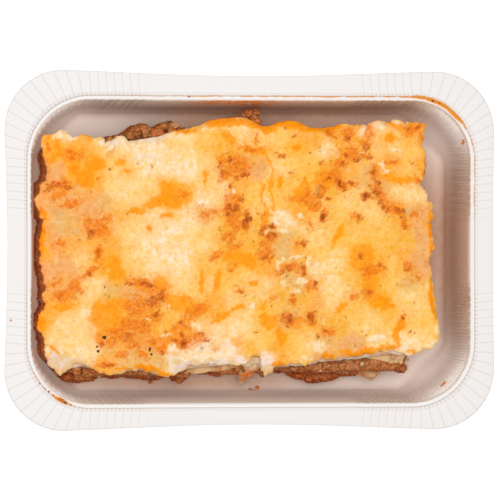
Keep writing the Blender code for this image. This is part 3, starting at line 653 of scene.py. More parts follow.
def cornerness(way):
    """1 for a direction on a corner's diagonal and 0 for one across a side."""
    return (2.0 * np.abs(way[..., 0] * way[..., 1])) ** 1.2


def bowl_radius(height):
    """Radius of the well on a corner's diagonal at a height: a lying parabola up the wall."""
    share = np.clip((height - BOARD) / (WALL_HEIGHT - BOARD), 0.0, 1.0)
    return WALL_TOP - CORNER_BOWL * (1.0 - np.sqrt(share))


def kept_in_well(points):
    """Points of the food, with any that would pass through the board drawn in to lie just inside."""
    place = points[:, :2] - MIDDLE[:2] - WELL_SHIFT
    past = np.maximum(np.abs(place) - CORNER, 0.0)
    reach = np.maximum(np.hypot(past[:, 0], past[:, 1]), 1e-6)
    way = past / reach[:, None]
    rise = np.clip((points[:, 2] - BOARD) / (WALL_HEIGHT - BOARD), 0.0, 1.0)
    wall = blend(WALL_FOOT, WALL_TOP, rise)
    wall = wall + cornerness(way) * np.minimum(bowl_radius(points[:, 2]) - wall, 0.0) - CLEARANCE
    below_the_bead = points[:, 2] < RIM - 2.2
    excess = way * (np.maximum(reach - wall, 0.0) * below_the_bead)[:, None]
    kept = points.copy()
    kept[:, :2] -= np.sign(place) * excess
    return kept


# %% Outlines, with heights read off the solids
COLUMNS = 1300
RIM_RINGS = 15  # rings over the outer part of a layer's upper face
RIM_WIDTH = 9.0
SIDE_RINGS = 11
END_TUCK = 2.6  # how far pasta and white sauce keep under the cheese at the slab's two ends
MINCE_TUCK = 0.3


def round_average(values, reach):
    """Values round an outline, each averaged with its neighbours out to a reach in points."""
    window = np.hanning(2 * reach + 1)
    padded = np.concatenate([values[-reach:], values, values[:reach]])
    return np.stack([np.convolve(column, window / window.sum(), "valid") for column in padded.T], axis=1)


def heights_of(node):
    """Upper and lower height of a solid's rim in each direction from its middle, by 4 degrees."""
    vertices = np.array([vertex.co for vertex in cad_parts[node].data.vertices]) / MM
    offset = vertices[:, :2] - (MIDDLE[:2] + SLAB_MIDDLE)
    direction = np.degrees(np.arctan2(offset[:, 1], offset[:, 0])) % 360.0
    distance = np.hypot(offset[:, 0], offset[:, 1])
    rim = []
    for start in np.arange(0.0, 360.0, 4.0):
        near = (direction >= start) & (direction < start + 4.0)
        if near.any():
            outer = near & (distance > 0.93 * distance[near].max())
            rim.append((start + 2.0, vertices[outer, 2].max(), vertices[outer, 2].min()))
    return np.array(rim)


def layer_outline(front, rear, tuck):
    """A closed outline: drawn front and rear, with the cheese's own ends a little further in."""
    right = [(x - END_TUCK, y) for x, y in RIGHT_EDGE[::-1] if front[-1][1] + 1.0 < y < rear[-1][1] - 1.0]
    left = [(x + tuck, y) for x, y in LEFT_EDGE if front[0][1] + 1.0 < y < rear[0][1] - 1.0]
    return round_average(evenly([*front, *right, *rear[::-1], *left], COLUMNS, closed=True), 3)


def sheared(points):
    """Two coordinates in which noise differs over level and upright faces alike."""
    return points[:, 0] + 1.3 * points[:, 2], points[:, 1] + 0.9 * points[:, 2]


def layer_rings(node, swell, front, rear, tuck):
    """Rings of one layer, from the upper face's inner part over the rim and down to the underside."""
    rim = layer_outline(front, rear, tuck)
    offset = rim - SLAB_MIDDLE
    direction = np.degrees(np.arctan2(offset[:, 1], offset[:, 0])) % 360.0
    heights = heights_of(node)
    upper, lower = (
        round_average(np.interp(direction, heights[:, 0], heights[:, i], period=360.0)[:, None], 9)[:, 0]
        for i in (1, 2)
    )
    outward = outward_of(round_average(rim, 24))
    rim = rim + MIDDLE[:2]
    rings, places = [], []
    for share in np.linspace(1.0, 0.0, RIM_RINGS, endpoint=False):
        inner = RIM_WIDTH * share + 0.4
        rings.append(np.column_stack([rim - outward * inner, upper]))
        places.append(0.0)
    for share in np.linspace(0.0, 1.0, SIDE_RINGS):
        out = swell * math.sin(math.pi * share) - 0.4 * abs(2.0 * share - 1.0) ** 3
        rings.append(np.column_stack([rim + outward * out, blend(upper, lower, share)]))
        places.append(share)
    rings.append(np.column_stack([rim - outward * 5.0, lower]))
    places.append(1.0)
    return rings, outward, np.array(places)


def make_layer(name, node, swell, look, front, rear):
    """One layer: its rings, moved by the look's relief and coloured by it, closed at both ends."""
    tuck = MINCE_TUCK if look is mince_look else END_TUCK
    rings, outward, places = layer_rings(node, swell, front, rear, tuck)
    points = np.concatenate(rings)
    colour, relief = look(points)
    outward = np.tile(outward, (len(rings), 1))
    side = np.repeat(np.where(places > 0.0, smooth((1.0 - places) * 4.0 + 0.2), 0.3), COLUMNS)
    face = np.repeat(places == 0.0, COLUMNS)
    points[:, :2] += outward * (relief * side)[:, None]
    points[:, 2] += 0.5 * relief * face
    start, end = points[:COLUMNS].mean(axis=0), points[-COLUMNS:].mean(axis=0)
    points = kept_in_well(np.concatenate([points, [start, end]]))
    colour = np.concatenate([colour, colour[:1], colour[:1]])
    quads, triangles = closed_rings((len(rings), COLUMNS), 0, True, True)
    return new_piece(name, points, quads, triangles, colour)


# %% Looks of the layers
def mince_look(points):
    """Colour and relief of minced meat in sauce: rounded cells of three sizes, with painted shade between them."""
    u, v = sheared(points)
    u = u + 1.0 * layered_noise(u, v, 3.0, 201)
    v = v + 1.0 * layered_noise(u, v, 3.0, 211)
    clump, _ = cells(u, v, 5.0, 215)
    coarse, kind = cells(0.7 * u, 1.2 * v, 1.4, 221)
    fine, small_kind = cells(0.7 * u, 1.2 * v, 0.65, 231)
    soft = layered_noise(u, v, 4.0, 241)
    relief = 0.8 * (0.5 - clump) + 0.4 * (0.5 - coarse) + 0.3 * (0.5 - fine) + 0.9 * soft
    sunk = smooth((17.0 - points[:, 2]) / 6.0)  # the sauce has sunk to the lower meat
    colour = blend(linear((190, 116, 60)), linear((170, 80, 26)), sunk[:, None])
    colour = paint(colour, (214, 160, 108), 0.5 * smooth((kind - 0.6) / 0.2) * (1.0 - 0.7 * sunk))
    colour = paint(colour, (230, 122, 40), 0.6 * smooth((small_kind - 0.7) / 0.2))
    colour = paint(colour, (190, 82, 20), 0.6 * smooth(soft * 2.0) * smooth(0.1 + sunk))
    # Painted shade in the gaps between the crumbs of meat.
    gaps = smooth((coarse + 0.5 * fine + 0.4 * clump - 0.3 * soft - 0.95) / 0.4)
    return paint(colour, (70, 32, 12), 0.6 * gaps), relief


def pasta_look(points):
    """Colour and relief of the cut edge of a pasta sheet: straw with browner, sauce-stained runs."""
    u, v = sheared(points)
    soft = layered_noise(u, v, 7.0, 251)
    fine = layered_noise(u, v, 1.6, 261)
    colour = paint(np.tile(linear((222, 184, 134)), (len(points), 1)), (196, 146, 94), smooth(0.5 + 2.0 * soft))
    colour = paint(colour, (196, 96, 40), 0.8 * smooth((soft + 0.6 * fine - 0.16) / 0.25))
    return colour, 0.6 * soft + 0.2 * fine


def sauce_look(points):
    """Colour and relief of set white sauce: pale, a little lumpy, stained where fat ran over it."""
    u, v = sheared(points)
    soft = layered_noise(u, v, 5.0, 271)
    fine = layered_noise(u, v, 1.4, 281)
    colour = paint(np.tile(linear((236, 216, 194)), (len(points), 1)), (214, 186, 158), smooth(0.5 + 1.5 * soft))
    colour = paint(colour, (226, 150, 84), 0.6 * smooth((soft + 0.4 * fine - 0.25) / 0.25))
    return colour, 0.7 * soft + 0.15 * fine


# How far each layer stands out at the front and the back of the slab, in millimetres from the
# middle of the tray.
COVERED_BACK = ((-76, 38), (-56, 39), (-46, 39), (-24, 42), (-14, 45), (2, 46), (10, 44), (60, 45.5), (67, 44))
SAUCE_FRONT = (
    (-73, -44.5), (-70.5, -46.4), (-67, -44.6), (-62, -43.6), (-50, -46.6), (-41, -45.2), (-31, -48), (-24, -45),
    (-10, -43.6), (-2, -43), (3, -40.4), (6, -45), (9, -46.4), (12, -44), (22, -43.8), (32, -42), (44, -41.2), (56, -39.2),
    (60, -40.6), (64, -38.4), (68, -36),
)
TOP_PASTA_FRONT = (
    (-72, -43.5), (-60, -44.6), (-40, -45.4), (-27, -45.4), (-22.5, -46.4), (-18, -47.4), (-14, -46.4), (-8, -45.9),
    (-3, -44.6), (4, -42), (12, -43.4), (30, -41.6), (45, -41.2), (52, -42.2), (57, -43.4), (61, -43), (64, -38.4), (68, -36),
)
UPPER_MINCE_FRONT = (
    (-72, -44), (-66, -46.4), (-58, -47), (-46, -46.9), (-36, -47.6), (-30, -47.4), (-26, -45.6), (-12, -45.8), (-6, -46.8),
    (4, -45.6), (12, -45.6), (26, -45.9), (36, -46), (44, -45.4), (52, -45.8), (58, -45.4), (62, -43.4), (64, -38.4), (68, -36),
)
MIDDLE_PASTA_FRONT = (
    (-72, -44), (-60, -46), (-40, -46.8), (-20, -45.6), (0, -45), (12, -45.8), (20, -46.4), (32, -46.4), (40, -47.2),
    (45, -47.6), (48.5, -49), (52, -48.8), (55, -46.2), (61, -44.6), (64, -39), (68, -36),
)
LOWER_MINCE_FRONT = (
    (-73, -44.5), (-71, -48), (-67, -49.6), (-62, -50.2), (-59, -49.4), (-55, -48.2), (-45, -48), (-36, -48.8), (-31, -48.8),
    (-28, -46.8), (-26, -49), (-23.5, -49.8), (-21.4, -48.4), (-19, -45.8), (-12, -46.6), (-8, -47.4), (-3, -46.6), (2, -45.6),
    (8, -46.6), (12, -45.2), (18, -46.2), (21, -48.6), (25, -49.8), (30, -50.2), (36, -49.6), (39, -47.8), (43, -47.6),
    (47, -46.6), (58, -45.6), (61.4, -46.4), (62.8, -46.8), (63.6, -44), (64, -39), (68, -36),
)
BOTTOM_PASTA_FRONT = ((-70, -43), (-40, -45), (0, -44.6), (30, -46), (45, -46.4), (55, -45.6), (62, -41), (67, -37))
MINCE_BACK = (
    (-76, 38), (-60, 40), (-55, 40.6), (-52.4, 42.6), (-50, 42.2), (-46, 43.2), (-43.6, 45.4), (-41.6, 47), (-39, 47.6),
    (-36.8, 46.2), (-34.6, 45.4), (-32.6, 47.2), (-29, 48.4), (-27, 47.6), (-24.6, 45.4), (-14, 45), (2, 46), (60, 45.5), (67, 44),
)

LAYERS = (
    ("white_sauce_layer", "white_sauce", 0.3, sauce_look, SAUCE_FRONT, COVERED_BACK, "white_sauce"),
    ("pasta_sheet_top", "pasta_top", 0.1, pasta_look, TOP_PASTA_FRONT, COVERED_BACK, "pasta"),
    ("mince_upper", "meat_sauce_upper", 0.6, mince_look, UPPER_MINCE_FRONT, MINCE_BACK, "meat_sauce"),
    ("pasta_sheet_middle", "pasta_middle", 0.1, pasta_look, MIDDLE_PASTA_FRONT, COVERED_BACK, "pasta"),
    ("mince_lower", "meat_sauce_lower", 0.6, mince_look, LOWER_MINCE_FRONT, MINCE_BACK, "meat_sauce"),
    ("pasta_sheet_bottom", "pasta_bottom", 0.1, pasta_look, BOTTOM_PASTA_FRONT, COVERED_BACK, "pasta"),
)
layers = {}
for name, node, swell, look, front, rear, slot in LAYERS:
    layers[name] = make_layer(name, node, swell, look, front, rear)
    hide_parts(node)
    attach(layers[name], "root")

# %% [markdown]
# ## Loose lumps, a torn flap and crumbs
# A cut lasagne sheds bits of its filling. Each lump is a ball whose radius is pushed in and out
# by noise, which costs a few hundred faces, and lumps of one kind are one piece. They are listed one
# by one where they fell, because chance would scatter them too evenly.

# %% Lumps
def ball(stacks, slices):
    """Directions over a unit ball, rings of latitude from the top, with one point at each pole."""
    down = np.pi * np.arange(1, stacks) / stacks
    round_ = 2.0 * np.pi * np.arange(slices) / slices
    rings = np.stack(
        [np.outer(np.sin(down), np.cos(round_)), np.outer(np.sin(down), np.sin(round_)),
         np.outer(np.cos(down), np.ones(slices))], axis=-1
    ).reshape(-1, 3)
    return np.concatenate([rings, [[0.0, 0.0, 1.0], [0.0, 0.0, -1.0]]])


def make_lumps(name, lumps, look, rough, stacks=14, slices=22):
    """One piece of many lumps: each (x, y, height, radius, flatness), a ball with a rough radius."""
    directions = ball(stacks, slices)
    face_quads, face_triangles = closed_rings((stacks - 1, slices), 0, True, True)
    points, quads, triangles = [], [], []
    for number, (x, y, z, radius, flatness) in enumerate(lumps):
        centre = np.array([x + MIDDLE[0], y + MIDDLE[1], z])
        spot = directions * radius + centre * 1.7
        u, v = sheared(spot)
        swell = 1.0 + rough * (layered_noise(u, v, 1.1 * radius, 400 + number) + 0.35 * layered_noise(u, v, 0.5, 450))
        shape = directions * (swell * radius)[:, None] * (1.0, 1.0, flatness)
        points.append(shape + centre)
        quads.append(face_quads + number * len(directions))
        triangles.append(face_triangles + number * len(directions))
    points = kept_in_well(np.concatenate(points))
    colour, _ = look(points)
    return new_piece(name, points, np.concatenate(quads), np.concatenate(triangles), colour)


MINCE_LUMPS = (
    (-52.2, 41.9, 23.4, 1.3, 0.8), (-49.6, 42.9, 23, 0.9, 0.8), (-47.2, 43.4, 22.8, 0.8, 0.8), (-44.2, 43.6, 23, 1.4, 0.9),
    (-42, 45.6, 22, 2, 0.9), (-39.6, 46.4, 21.6, 2, 0.9), (-38, 44.6, 22.4, 1.9, 0.9), (-36.2, 45.4, 22, 1.3, 0.9),
    (-33.6, 45.6, 22, 1.6, 0.9), (-31.6, 47, 21.6, 1.5, 0.9), (-29.4, 47.6, 21.6, 1.6, 0.9), (-27.6, 47, 22.4, 1.5, 0.9),
    (-28.6, 45.4, 23, 1.5, 0.8), (-25.6, 46.2, 22, 0.9, 0.8), (-23.8, 46.3, 22, 0.6, 0.8), (1.2, 52, 25, 1.6, 1.2),
    (2.8, 50.6, 24.6, 1.7, 1.1), (4.4, 49.2, 24.4, 1.3, 1.1), (3.4, 52.6, 26, 1.2, 1.1), (-1, 51.6, 25.6, 0.7, 0.9),
    (-71, -45.8, 17, 1.6, 0.9), (-64.4, -45.2, 19.5, 1.9, 0.8), (-63, -47.6, 14, 2.4, 0.9), (-66.6, -48, 12, 2, 0.9),
    (-59.4, -47.4, 15, 1.8, 0.9), (-61.4, -46.4, 18, 1.5, 0.8), (-41.8, -46.2, 18, 1, 0.8), (-36, -47.8, 15, 1.1, 0.8),
    (-32.6, -48, 14, 1.1, 0.8), (-24.4, -47, 17, 1.9, 0.9), (-22.8, -46.4, 19, 1.7, 0.8), (-23.8, -48.6, 13, 1.7, 0.9),
    (-8, -46.2, 16, 1.3, 0.8), (-1.4, -44.6, 19, 1.7, 0.8), (8, -47, 13, 1.4, 0.7), (14.4, -44, 19.6, 1.5, 0.8),
    (19, -44.8, 19, 1.6, 0.8), (22.4, -47.6, 9, 1.8, 0.8), (27, -48.2, 8, 2.3, 0.8), (32.4, -48, 8, 2.2, 0.8),
    (36.8, -47.6, 9, 1.8, 0.8), (25, -44.4, 19, 1.5, 0.7), (31.6, -44, 19.4, 1.6, 0.7), (38, -44, 19.2, 1.4, 0.7),
    (43.6, -46.6, 11, 1.6, 0.8), (47, -43, 19.4, 1.4, 0.7), (61.8, -45, 14, 1.7, 1.1), (62.4, -46.2, 11, 1.1, 1),
)
PALE_BITS = (
    (-34.8, 44, 23, 1.5, 0.6), (-32.6, 44.6, 23.2, 1.3, 0.6), (-27.4, 47.4, 23, 1.1, 0.6), (45.6, -43.4, 20, 0.8, 0.5),
    (56.6, -42.4, 20.6, 0.8, 0.6), (57.4, -40.8, 21.6, 0.9, 0.6), (51, -47.8, 8.4, 1.8, 0.5), (-52, 40.4, 23.6, 1, 0.5),
    (-55, -47.6, 15, 0.8, 0.6), (60.4, -42.6, 19.6, 0.8, 0.6), (30, -45.7, 17, 0.8, 0.3), (35, -45.2, 17.4, 0.7, 0.3),
)
lumps = make_lumps("mince_lumps", MINCE_LUMPS, mince_look, 0.75)
pale_bits = make_lumps("pale_bits", PALE_BITS, pasta_look, 1.1)

# %% The torn flap of pasta at the front
FLAP_MIDDLE = ((3.2, -40.4, 23.6), (2.8, -42.6, 22.6), (2, -45, 20), (1.2, -47.6, 16), (0.5, -49.6, 11.5), (0.1, -51.2, 8.2))
FLAP_HALF_WIDTH = (3.6, 3.9, 3.4, 2.5, 1.5, 0.7)
FLAP_THICKNESS = 0.7


def flap_look(points):
    """Translucent pasta, tan at the top and sauced from its middle down."""
    u, v = sheared(points)
    fine = layered_noise(u, v, 1.8, 311)
    colour = paint(np.tile(linear((222, 190, 148)), (len(points), 1)), (240, 214, 176), smooth(0.5 + 1.5 * fine))
    sauced = smooth((21.5 - points[:, 2]) / 4.0) * smooth((points[:, 2] - 9.5) / 3.0)
    return paint(colour, (240, 118, 8), sauced * smooth(0.8 + 1.6 * fine)), fine


def make_flap():
    """A strip across a given middle line: its width tapers, and its edges are frayed and curled."""
    rows, columns = 60, 30
    middle = evenly(FLAP_MIDDLE, rows)
    half = np.interp(np.linspace(0, 1, rows), np.linspace(0, 1, len(FLAP_HALF_WIDTH)), FLAP_HALF_WIDTH)
    across = np.linspace(-1.0, 1.0, columns)
    x = middle[:, None, 0] + half[:, None] * across[None]
    y = np.broadcast_to(middle[:, None, 1], x.shape)
    fray = gradient_noise(x, y, 1.7, 321)
    x = x + 0.5 * fray * across[None]
    y = y + 0.5 * gradient_noise(x, y, 2.0, 331)
    z = middle[:, None, 2] - 1.1 * across[None] ** 2 + 0.5 * fray
    points = np.stack([x + MIDDLE[0], y + MIDDLE[1], z], axis=-1).reshape(-1, 3)
    grid = np.arange(rows * columns).reshape(rows, columns)
    quads = np.stack([grid[:-1, :-1], grid[1:, :-1], grid[1:, 1:], grid[:-1, 1:]], axis=-1).reshape(-1, 4)
    flap = new_piece("torn_pasta_flap", points, quads, np.zeros((0, 3), int), flap_look(points)[0])
    sheet = flap.modifiers.new("pasta thickness", "SOLIDIFY")
    sheet.thickness = FLAP_THICKNESS * MM
    sheet.offset = 0.0
    return flap


flap = make_flap()

# %% Pepper and crumbs
def crumb_look(colour):
    """A look of one colour, varied a little from crumb to crumb."""

    def look(points):
        u, v = sheared(points)
        soft = gradient_noise(u, v, 1.5, 341)
        return linear(colour) * (1.0 + 0.35 * soft)[:, None], soft

    return look


def on_cheese(x, y):
    """Height of the baked top at a place: its crest less the sag."""
    away = math.hypot((x - SLAB_MIDDLE[0]) / SAG_REACH[0], (y - SLAB_MIDDLE[1]) / SAG_REACH[1])
    return CREST - 0.5 - SAG * away**2


PEPPER_FLATNESS = 0.5
pepper_lumps = [(x, y, on_cheese(x, y), radius, PEPPER_FLATNESS) for x, y, radius in PEPPER]
TRAY_CRUMBS = (
    (-33.8, -50.6, 1.2, 0.8, 0.6), (4.6, -53.6, 3.6, 0.6, 0.5), (7.6, -53, 2.6, 0.7, 0.5), (5.8, -53.8, 4.2, 0.4, 0.6),
    (16.6, -55.4, 12, 0.5, 0.8), (18.2, -55.6, 13, 0.5, 0.8), (75.5, -51.4, 28, 0.6, 0.8), (75.9, -50.6, 29, 0.5, 0.8),
    (74.9, -52, 28, 0.4, 0.8), (82.5, 41.5, 33.6, 0.5, 1.2), (82.1, 40.7, 33.2, 0.45, 1.2), (66.8, -42.4, 1.2, 0.3, 0.7),
    (-91.3, -26.4, 35.9, 0.35, 0.6), (-71.6, -56.6, 35.5, 0.7, 0.6), (-72.6, -56, 35.5, 0.5, 0.6), (-76.8, -53.2, 35.6, 0.35, 0.6),
    (-78.3, -52.2, 35.6, 0.3, 0.6), (-75.2, -54.6, 35.6, 0.35, 0.6), (-80.4, -50.2, 35.7, 0.4, 0.6), (-68.4, -58.2, 35.7, 0.3, 0.6),
)
DARK_CRUMBS = ((-70.6, -57.6, 35.6, 0.55, 0.6), (70.2, 56.9, 35.1, 0.45, 0.7), (72.9, 56.4, 35.2, 0.55, 0.7), (-23.4, 58.4, 35.1, 0.4, 0.6))
pepper = make_lumps("pepper", pepper_lumps, crumb_look((74, 50, 40)), 0.5, 8, 12)
crumbs = make_lumps("tray_crumbs", TRAY_CRUMBS, crumb_look((214, 120, 44)), 0.6, 10, 14)
dark_crumbs = make_lumps("dark_crumbs", DARK_CRUMBS, crumb_look((110, 66, 40)), 0.6, 10, 14)
LOOSE = (
    (lumps, "meat_sauce"), (pale_bits, "pasta"), (flap, "pasta"),
    (pepper, "cheese"), (crumbs, "meat_sauce"), (dark_crumbs, "meat_sauce"),
)
for piece, slot in LOOSE:
    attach(piece, "root")

# %% [markdown]
# ## The tray
# The tray was stamped from one flat blank, and where the blank had too much board, at the
# corners, it gathered into fine pleats. A mesh could get them from a displacement texture, but
# modelled pleats catch the light at every angle. The surface is a profile swept round the well:
# each column of the grid stands on one ray across the wall, and the pleats are a ripple in the
# number of the ray. Solidify then gives the sheet its thickness.

# %% The tray's profile and its rays
OUTER_HALF = np.array([94.0, 68.4])  # half the blank's length and width
OUTER_CORNER = 23.6
LEFT_BOW, RIGHT_BOW, SIDE_BOW = 1.5, 0.5, 2.4  # how far the flange's edges pull in at their middles
PITCH = 3.1
SAMPLES = 8  # columns in a pleat
ARC_PLEATS = 12
RUN_PLEATS = 8
EDGE_DROOP = 0.5


def quarter_rays():
    """The rays of a quarter: start, direction, pleat number and how pleated, as one array."""
    pleated = RUN_PLEATS * PITCH
    steps = np.arange(1, RUN_PLEATS * SAMPLES + 1) / SAMPLES  # in pleats from the corner's arc
    end_plain = np.linspace(0.0, CORNER[1] - pleated, 4)[:-1]
    side_plain = np.linspace(CORNER[0] - pleated, 0.0, 9)[1:]
    angle = np.linspace(0.0, np.pi / 2, ARC_PLEATS * SAMPLES + 1)
    fade = smooth(np.linspace(1.0, 0.0, len(steps)) * 3.0)

    def run(x, y, dx, dy, number, strength):
        count = np.size(x + y)
        return np.column_stack([np.broadcast_to(value, count) for value in (x, y, dx, dy, number, strength)])

    half_arc = ARC_PLEATS / 2
    end_number = half_arc + (CORNER[1] - end_plain) / PITCH
    side_number = -half_arc - (CORNER[0] - side_plain) / PITCH
    return np.concatenate([
        run(0.0, end_plain, 1.0, 0.0, end_number, 0.0),
        run(0.0, CORNER[1] - steps[::-1] * PITCH, 1.0, 0.0, half_arc + steps[::-1], fade[::-1]),
        run(CORNER[0] + 0.0 * angle, CORNER[1], np.cos(angle), np.sin(angle), half_arc - angle / np.pi * 2 * ARC_PLEATS, 1.0),
        run(CORNER[0] - steps * PITCH, 0.0, 0.0, 1.0, -half_arc - steps, fade),
        run(side_plain, 0.0, 0.0, 1.0, side_number, 0.0),
    ])


def all_rays():
    """The quarter mirrored round: the columns of the whole tray, anticlockwise from the right end."""
    quarter = quarter_rays()
    spacing = 40.0  # keeps the pleat numbers of the four corners apart
    parts = []
    for index, (sign_x, sign_y) in enumerate(((1, 1), (-1, 1), (-1, -1), (1, -1))):
        part = quarter * (sign_x, sign_y, sign_x, sign_y, 1, 1)
        part[:, 4] = part[:, 4] + spacing * (index + 1)
        if sign_x * sign_y < 0:
            part = part[::-1]
        parts.append(part[:-1])
    return np.concatenate(parts)


RAYS = all_rays()
START, WAY, PLEAT, PLEATED = RAYS[:, 0:2], RAYS[:, 2:4], RAYS[:, 4], RAYS[:, 5]
SIDE = np.sign(np.where(np.abs(WAY) > 1e-9, WAY, START + 1e-9))


def reach_to_well(radius):
    """How far along each ray the well's wall lies: a radius past the corner centres' rectangle."""
    return np.abs((CORNER * SIDE - START) * WAY).sum(axis=1) + radius


def reach_to_edge():
    """How far along each ray the flange's outer edge lies: an end, a side or the arc between."""
    start, way = np.abs(START), np.abs(WAY)
    centre = OUTER_HALF - OUTER_CORNER
    to_end = (OUTER_HALF[0] - start[:, 0]) / np.maximum(way[:, 0], 1e-9)
    to_side = (OUTER_HALF[1] - start[:, 1]) / np.maximum(way[:, 1], 1e-9)
    along = ((centre - start) * way).sum(axis=1)
    across = (centre[0] - start[:, 0]) * way[:, 1] - (centre[1] - start[:, 1]) * way[:, 0]
    to_arc = along + np.sqrt(np.maximum(OUTER_CORNER**2 - across**2, 0.0))
    on_end = start[:, 1] + to_end * way[:, 1] <= centre[1]
    on_side = start[:, 0] + to_side * way[:, 0] <= centre[0]
    return np.where(on_end, to_end, np.where(on_side, to_side, to_arc))


def bowed(places):
    """Places on the outer edge, drawn in at the middle of the ends and sides by a cosine squared."""
    end_bow = np.where(places[:, 0] < 0.0, LEFT_BOW, RIGHT_BOW)
    pull_x = end_bow * np.cos(np.pi / 2 * np.minimum(np.abs(places[:, 1]) / OUTER_HALF[1], 1.0)) ** 2
    pull_y = SIDE_BOW * np.cos(np.pi / 2 * np.minimum(np.abs(places[:, 0]) / OUTER_HALF[0], 1.0)) ** 2
    on_end = np.abs(places[:, 0]) > CORNER[0]
    on_side = np.abs(places[:, 1]) > CORNER[1]
    pull = np.column_stack([pull_x * on_end, pull_y * on_side])
    return places - WAY * pull


STEP_TOP = 24.9
FILLET = [
    (WALL_FOOT - 2.8 * (1.0 - math.sin(t)), BOARD + FILLET_RISE * (1.0 - math.cos(t)))
    for t in np.linspace(0.0, math.pi / 2, 6)
]
WALL = [(blend(WALL_FOOT, WALL_TOP, t), blend(BOARD + FILLET_RISE, WALL_HEIGHT, t)) for t in np.linspace(0.0, 1.0, 11)[1:]]
BEAD = [(22.6, RIM - 1.7), (22.85, RIM - 1.35), (23.15, RIM - 1.22), (23.5, RIM - 1.3), (23.8, RIM - 1.5)]
STEP = [(24.0, RIM - 1.3), (24.2, RIM - 0.75), (24.45, RIM - 0.25), (STEP_TOP, RIM)]
FLOOR_SHARES = (0.2, 0.5, 0.8, 0.93)
FLANGE_SHARES = (0.08, 0.25, 0.45, 0.65, 0.82, 0.94, 1.0)
ripple = np.abs(np.sin(np.pi * PLEAT)) ** 0.6  # 0 in a crease and 1 between two
groove = np.exp(-((PLEAT - np.round(PLEAT)) / 0.07) ** 2)
CORNERNESS = cornerness(WAY)
fold_depth = 0.7 + 0.6 * gradient_noise(np.round(PLEAT) * 7.3, 0.0 * PLEAT, 5.0, 301)


def well_ring(radius, height, pleat_out):
    """A ring of the well. In the corners the wall leaves its slope for a bowl, a lying parabola."""
    bend = CORNERNESS * min(bowl_radius(height) - min(radius, WALL_TOP), 0.0)
    reach = reach_to_well(radius) + bend + pleat_out * PLEATED * ripple * fold_depth
    places = START + WAY * reach[:, None]
    return np.column_stack([places + WELL_SHIFT, np.full(len(places), height)])


def tray_rings():
    """The rings of the upper face from the floor's middle out, and the length of board up to each."""
    floor = well_ring(*FILLET[0], 0.0)
    rings = [blend(np.array([*WELL_SHIFT, BOARD]), floor, share) for share in FLOOR_SHARES]
    for radius, height in FILLET:
        rings.append(well_ring(radius, height, 0.0))
    for radius, height in WALL:
        rings.append(well_ring(radius, height, 0.75 * smooth((height - BOARD) / 24.0)))
    for radius, height in BEAD:
        rings.append(well_ring(radius, height, 0.12))
    for radius, height in STEP:
        rings.append(well_ring(radius, height, 0.1))
    inner = rings[-1]
    outer_places = bowed(START + WAY * reach_to_edge()[:, None])
    outer = np.column_stack([outer_places, np.full(len(outer_places), RIM)])
    for share in FLANGE_SHARES:
        ring = blend(inner, outer, share)
        ring[:, 2] = RIM - EDGE_DROOP * share**2 - 0.07 * PLEATED * groove * fold_depth
        rings.append(ring)
    steps = [0.0] + [float(np.linalg.norm(b - a, axis=1).mean()) for a, b in zip(rings, rings[1:])]
    return [ring + (*MIDDLE[:2], 0.0) for ring in rings], np.cumsum(steps)


# Where the sauce marked the board, and, in the warmth patches, painted warm shade with the food's colour reflected
# beside it, partly the sauce's stain: x, y, half length, half width of broad patches.
STAINS_AND_WARM_SHADE = {
    "warmth": ((-83, 2, 8, 44), (78, 6, 16, 24), (84, -4, 8, 26), (18, 55, 52, 9), (-8, 52, 22, 12), (-20, -50, 50, 3)),
    "oil": ((30, 58, 64, 7), (72, 52, 17, 12), (80, 30, 9, 18), (-76, -53, 12, 8)),
    "thick_oil": ((70, 56, 9, 6), (77, 49, 5, 6), (-72, -57, 3, 3)),
    "smear": ((-4, 57, 15, 7),),
    "drip": ((4, 56, 4, 9),),
}
# Where the most light bounces about: the gap at the left end, and the corners.
BOUNCES = {
    (-84, 0, 7, 44): 0.9, (-74, 50, 14, 12): 0.35, (-68, -46, 16, 16): 0.25, (76, -48, 12, 12): 0.3,
    (4, -57, 76, 4): 0.2, (20, 58, 70, 4): 0.07, (78, 46, 12, 12): 0.3, (86, 0, 3, 42): 0.25,
}
BEAD_DROP = 1.6  # the bead and all above it stay white


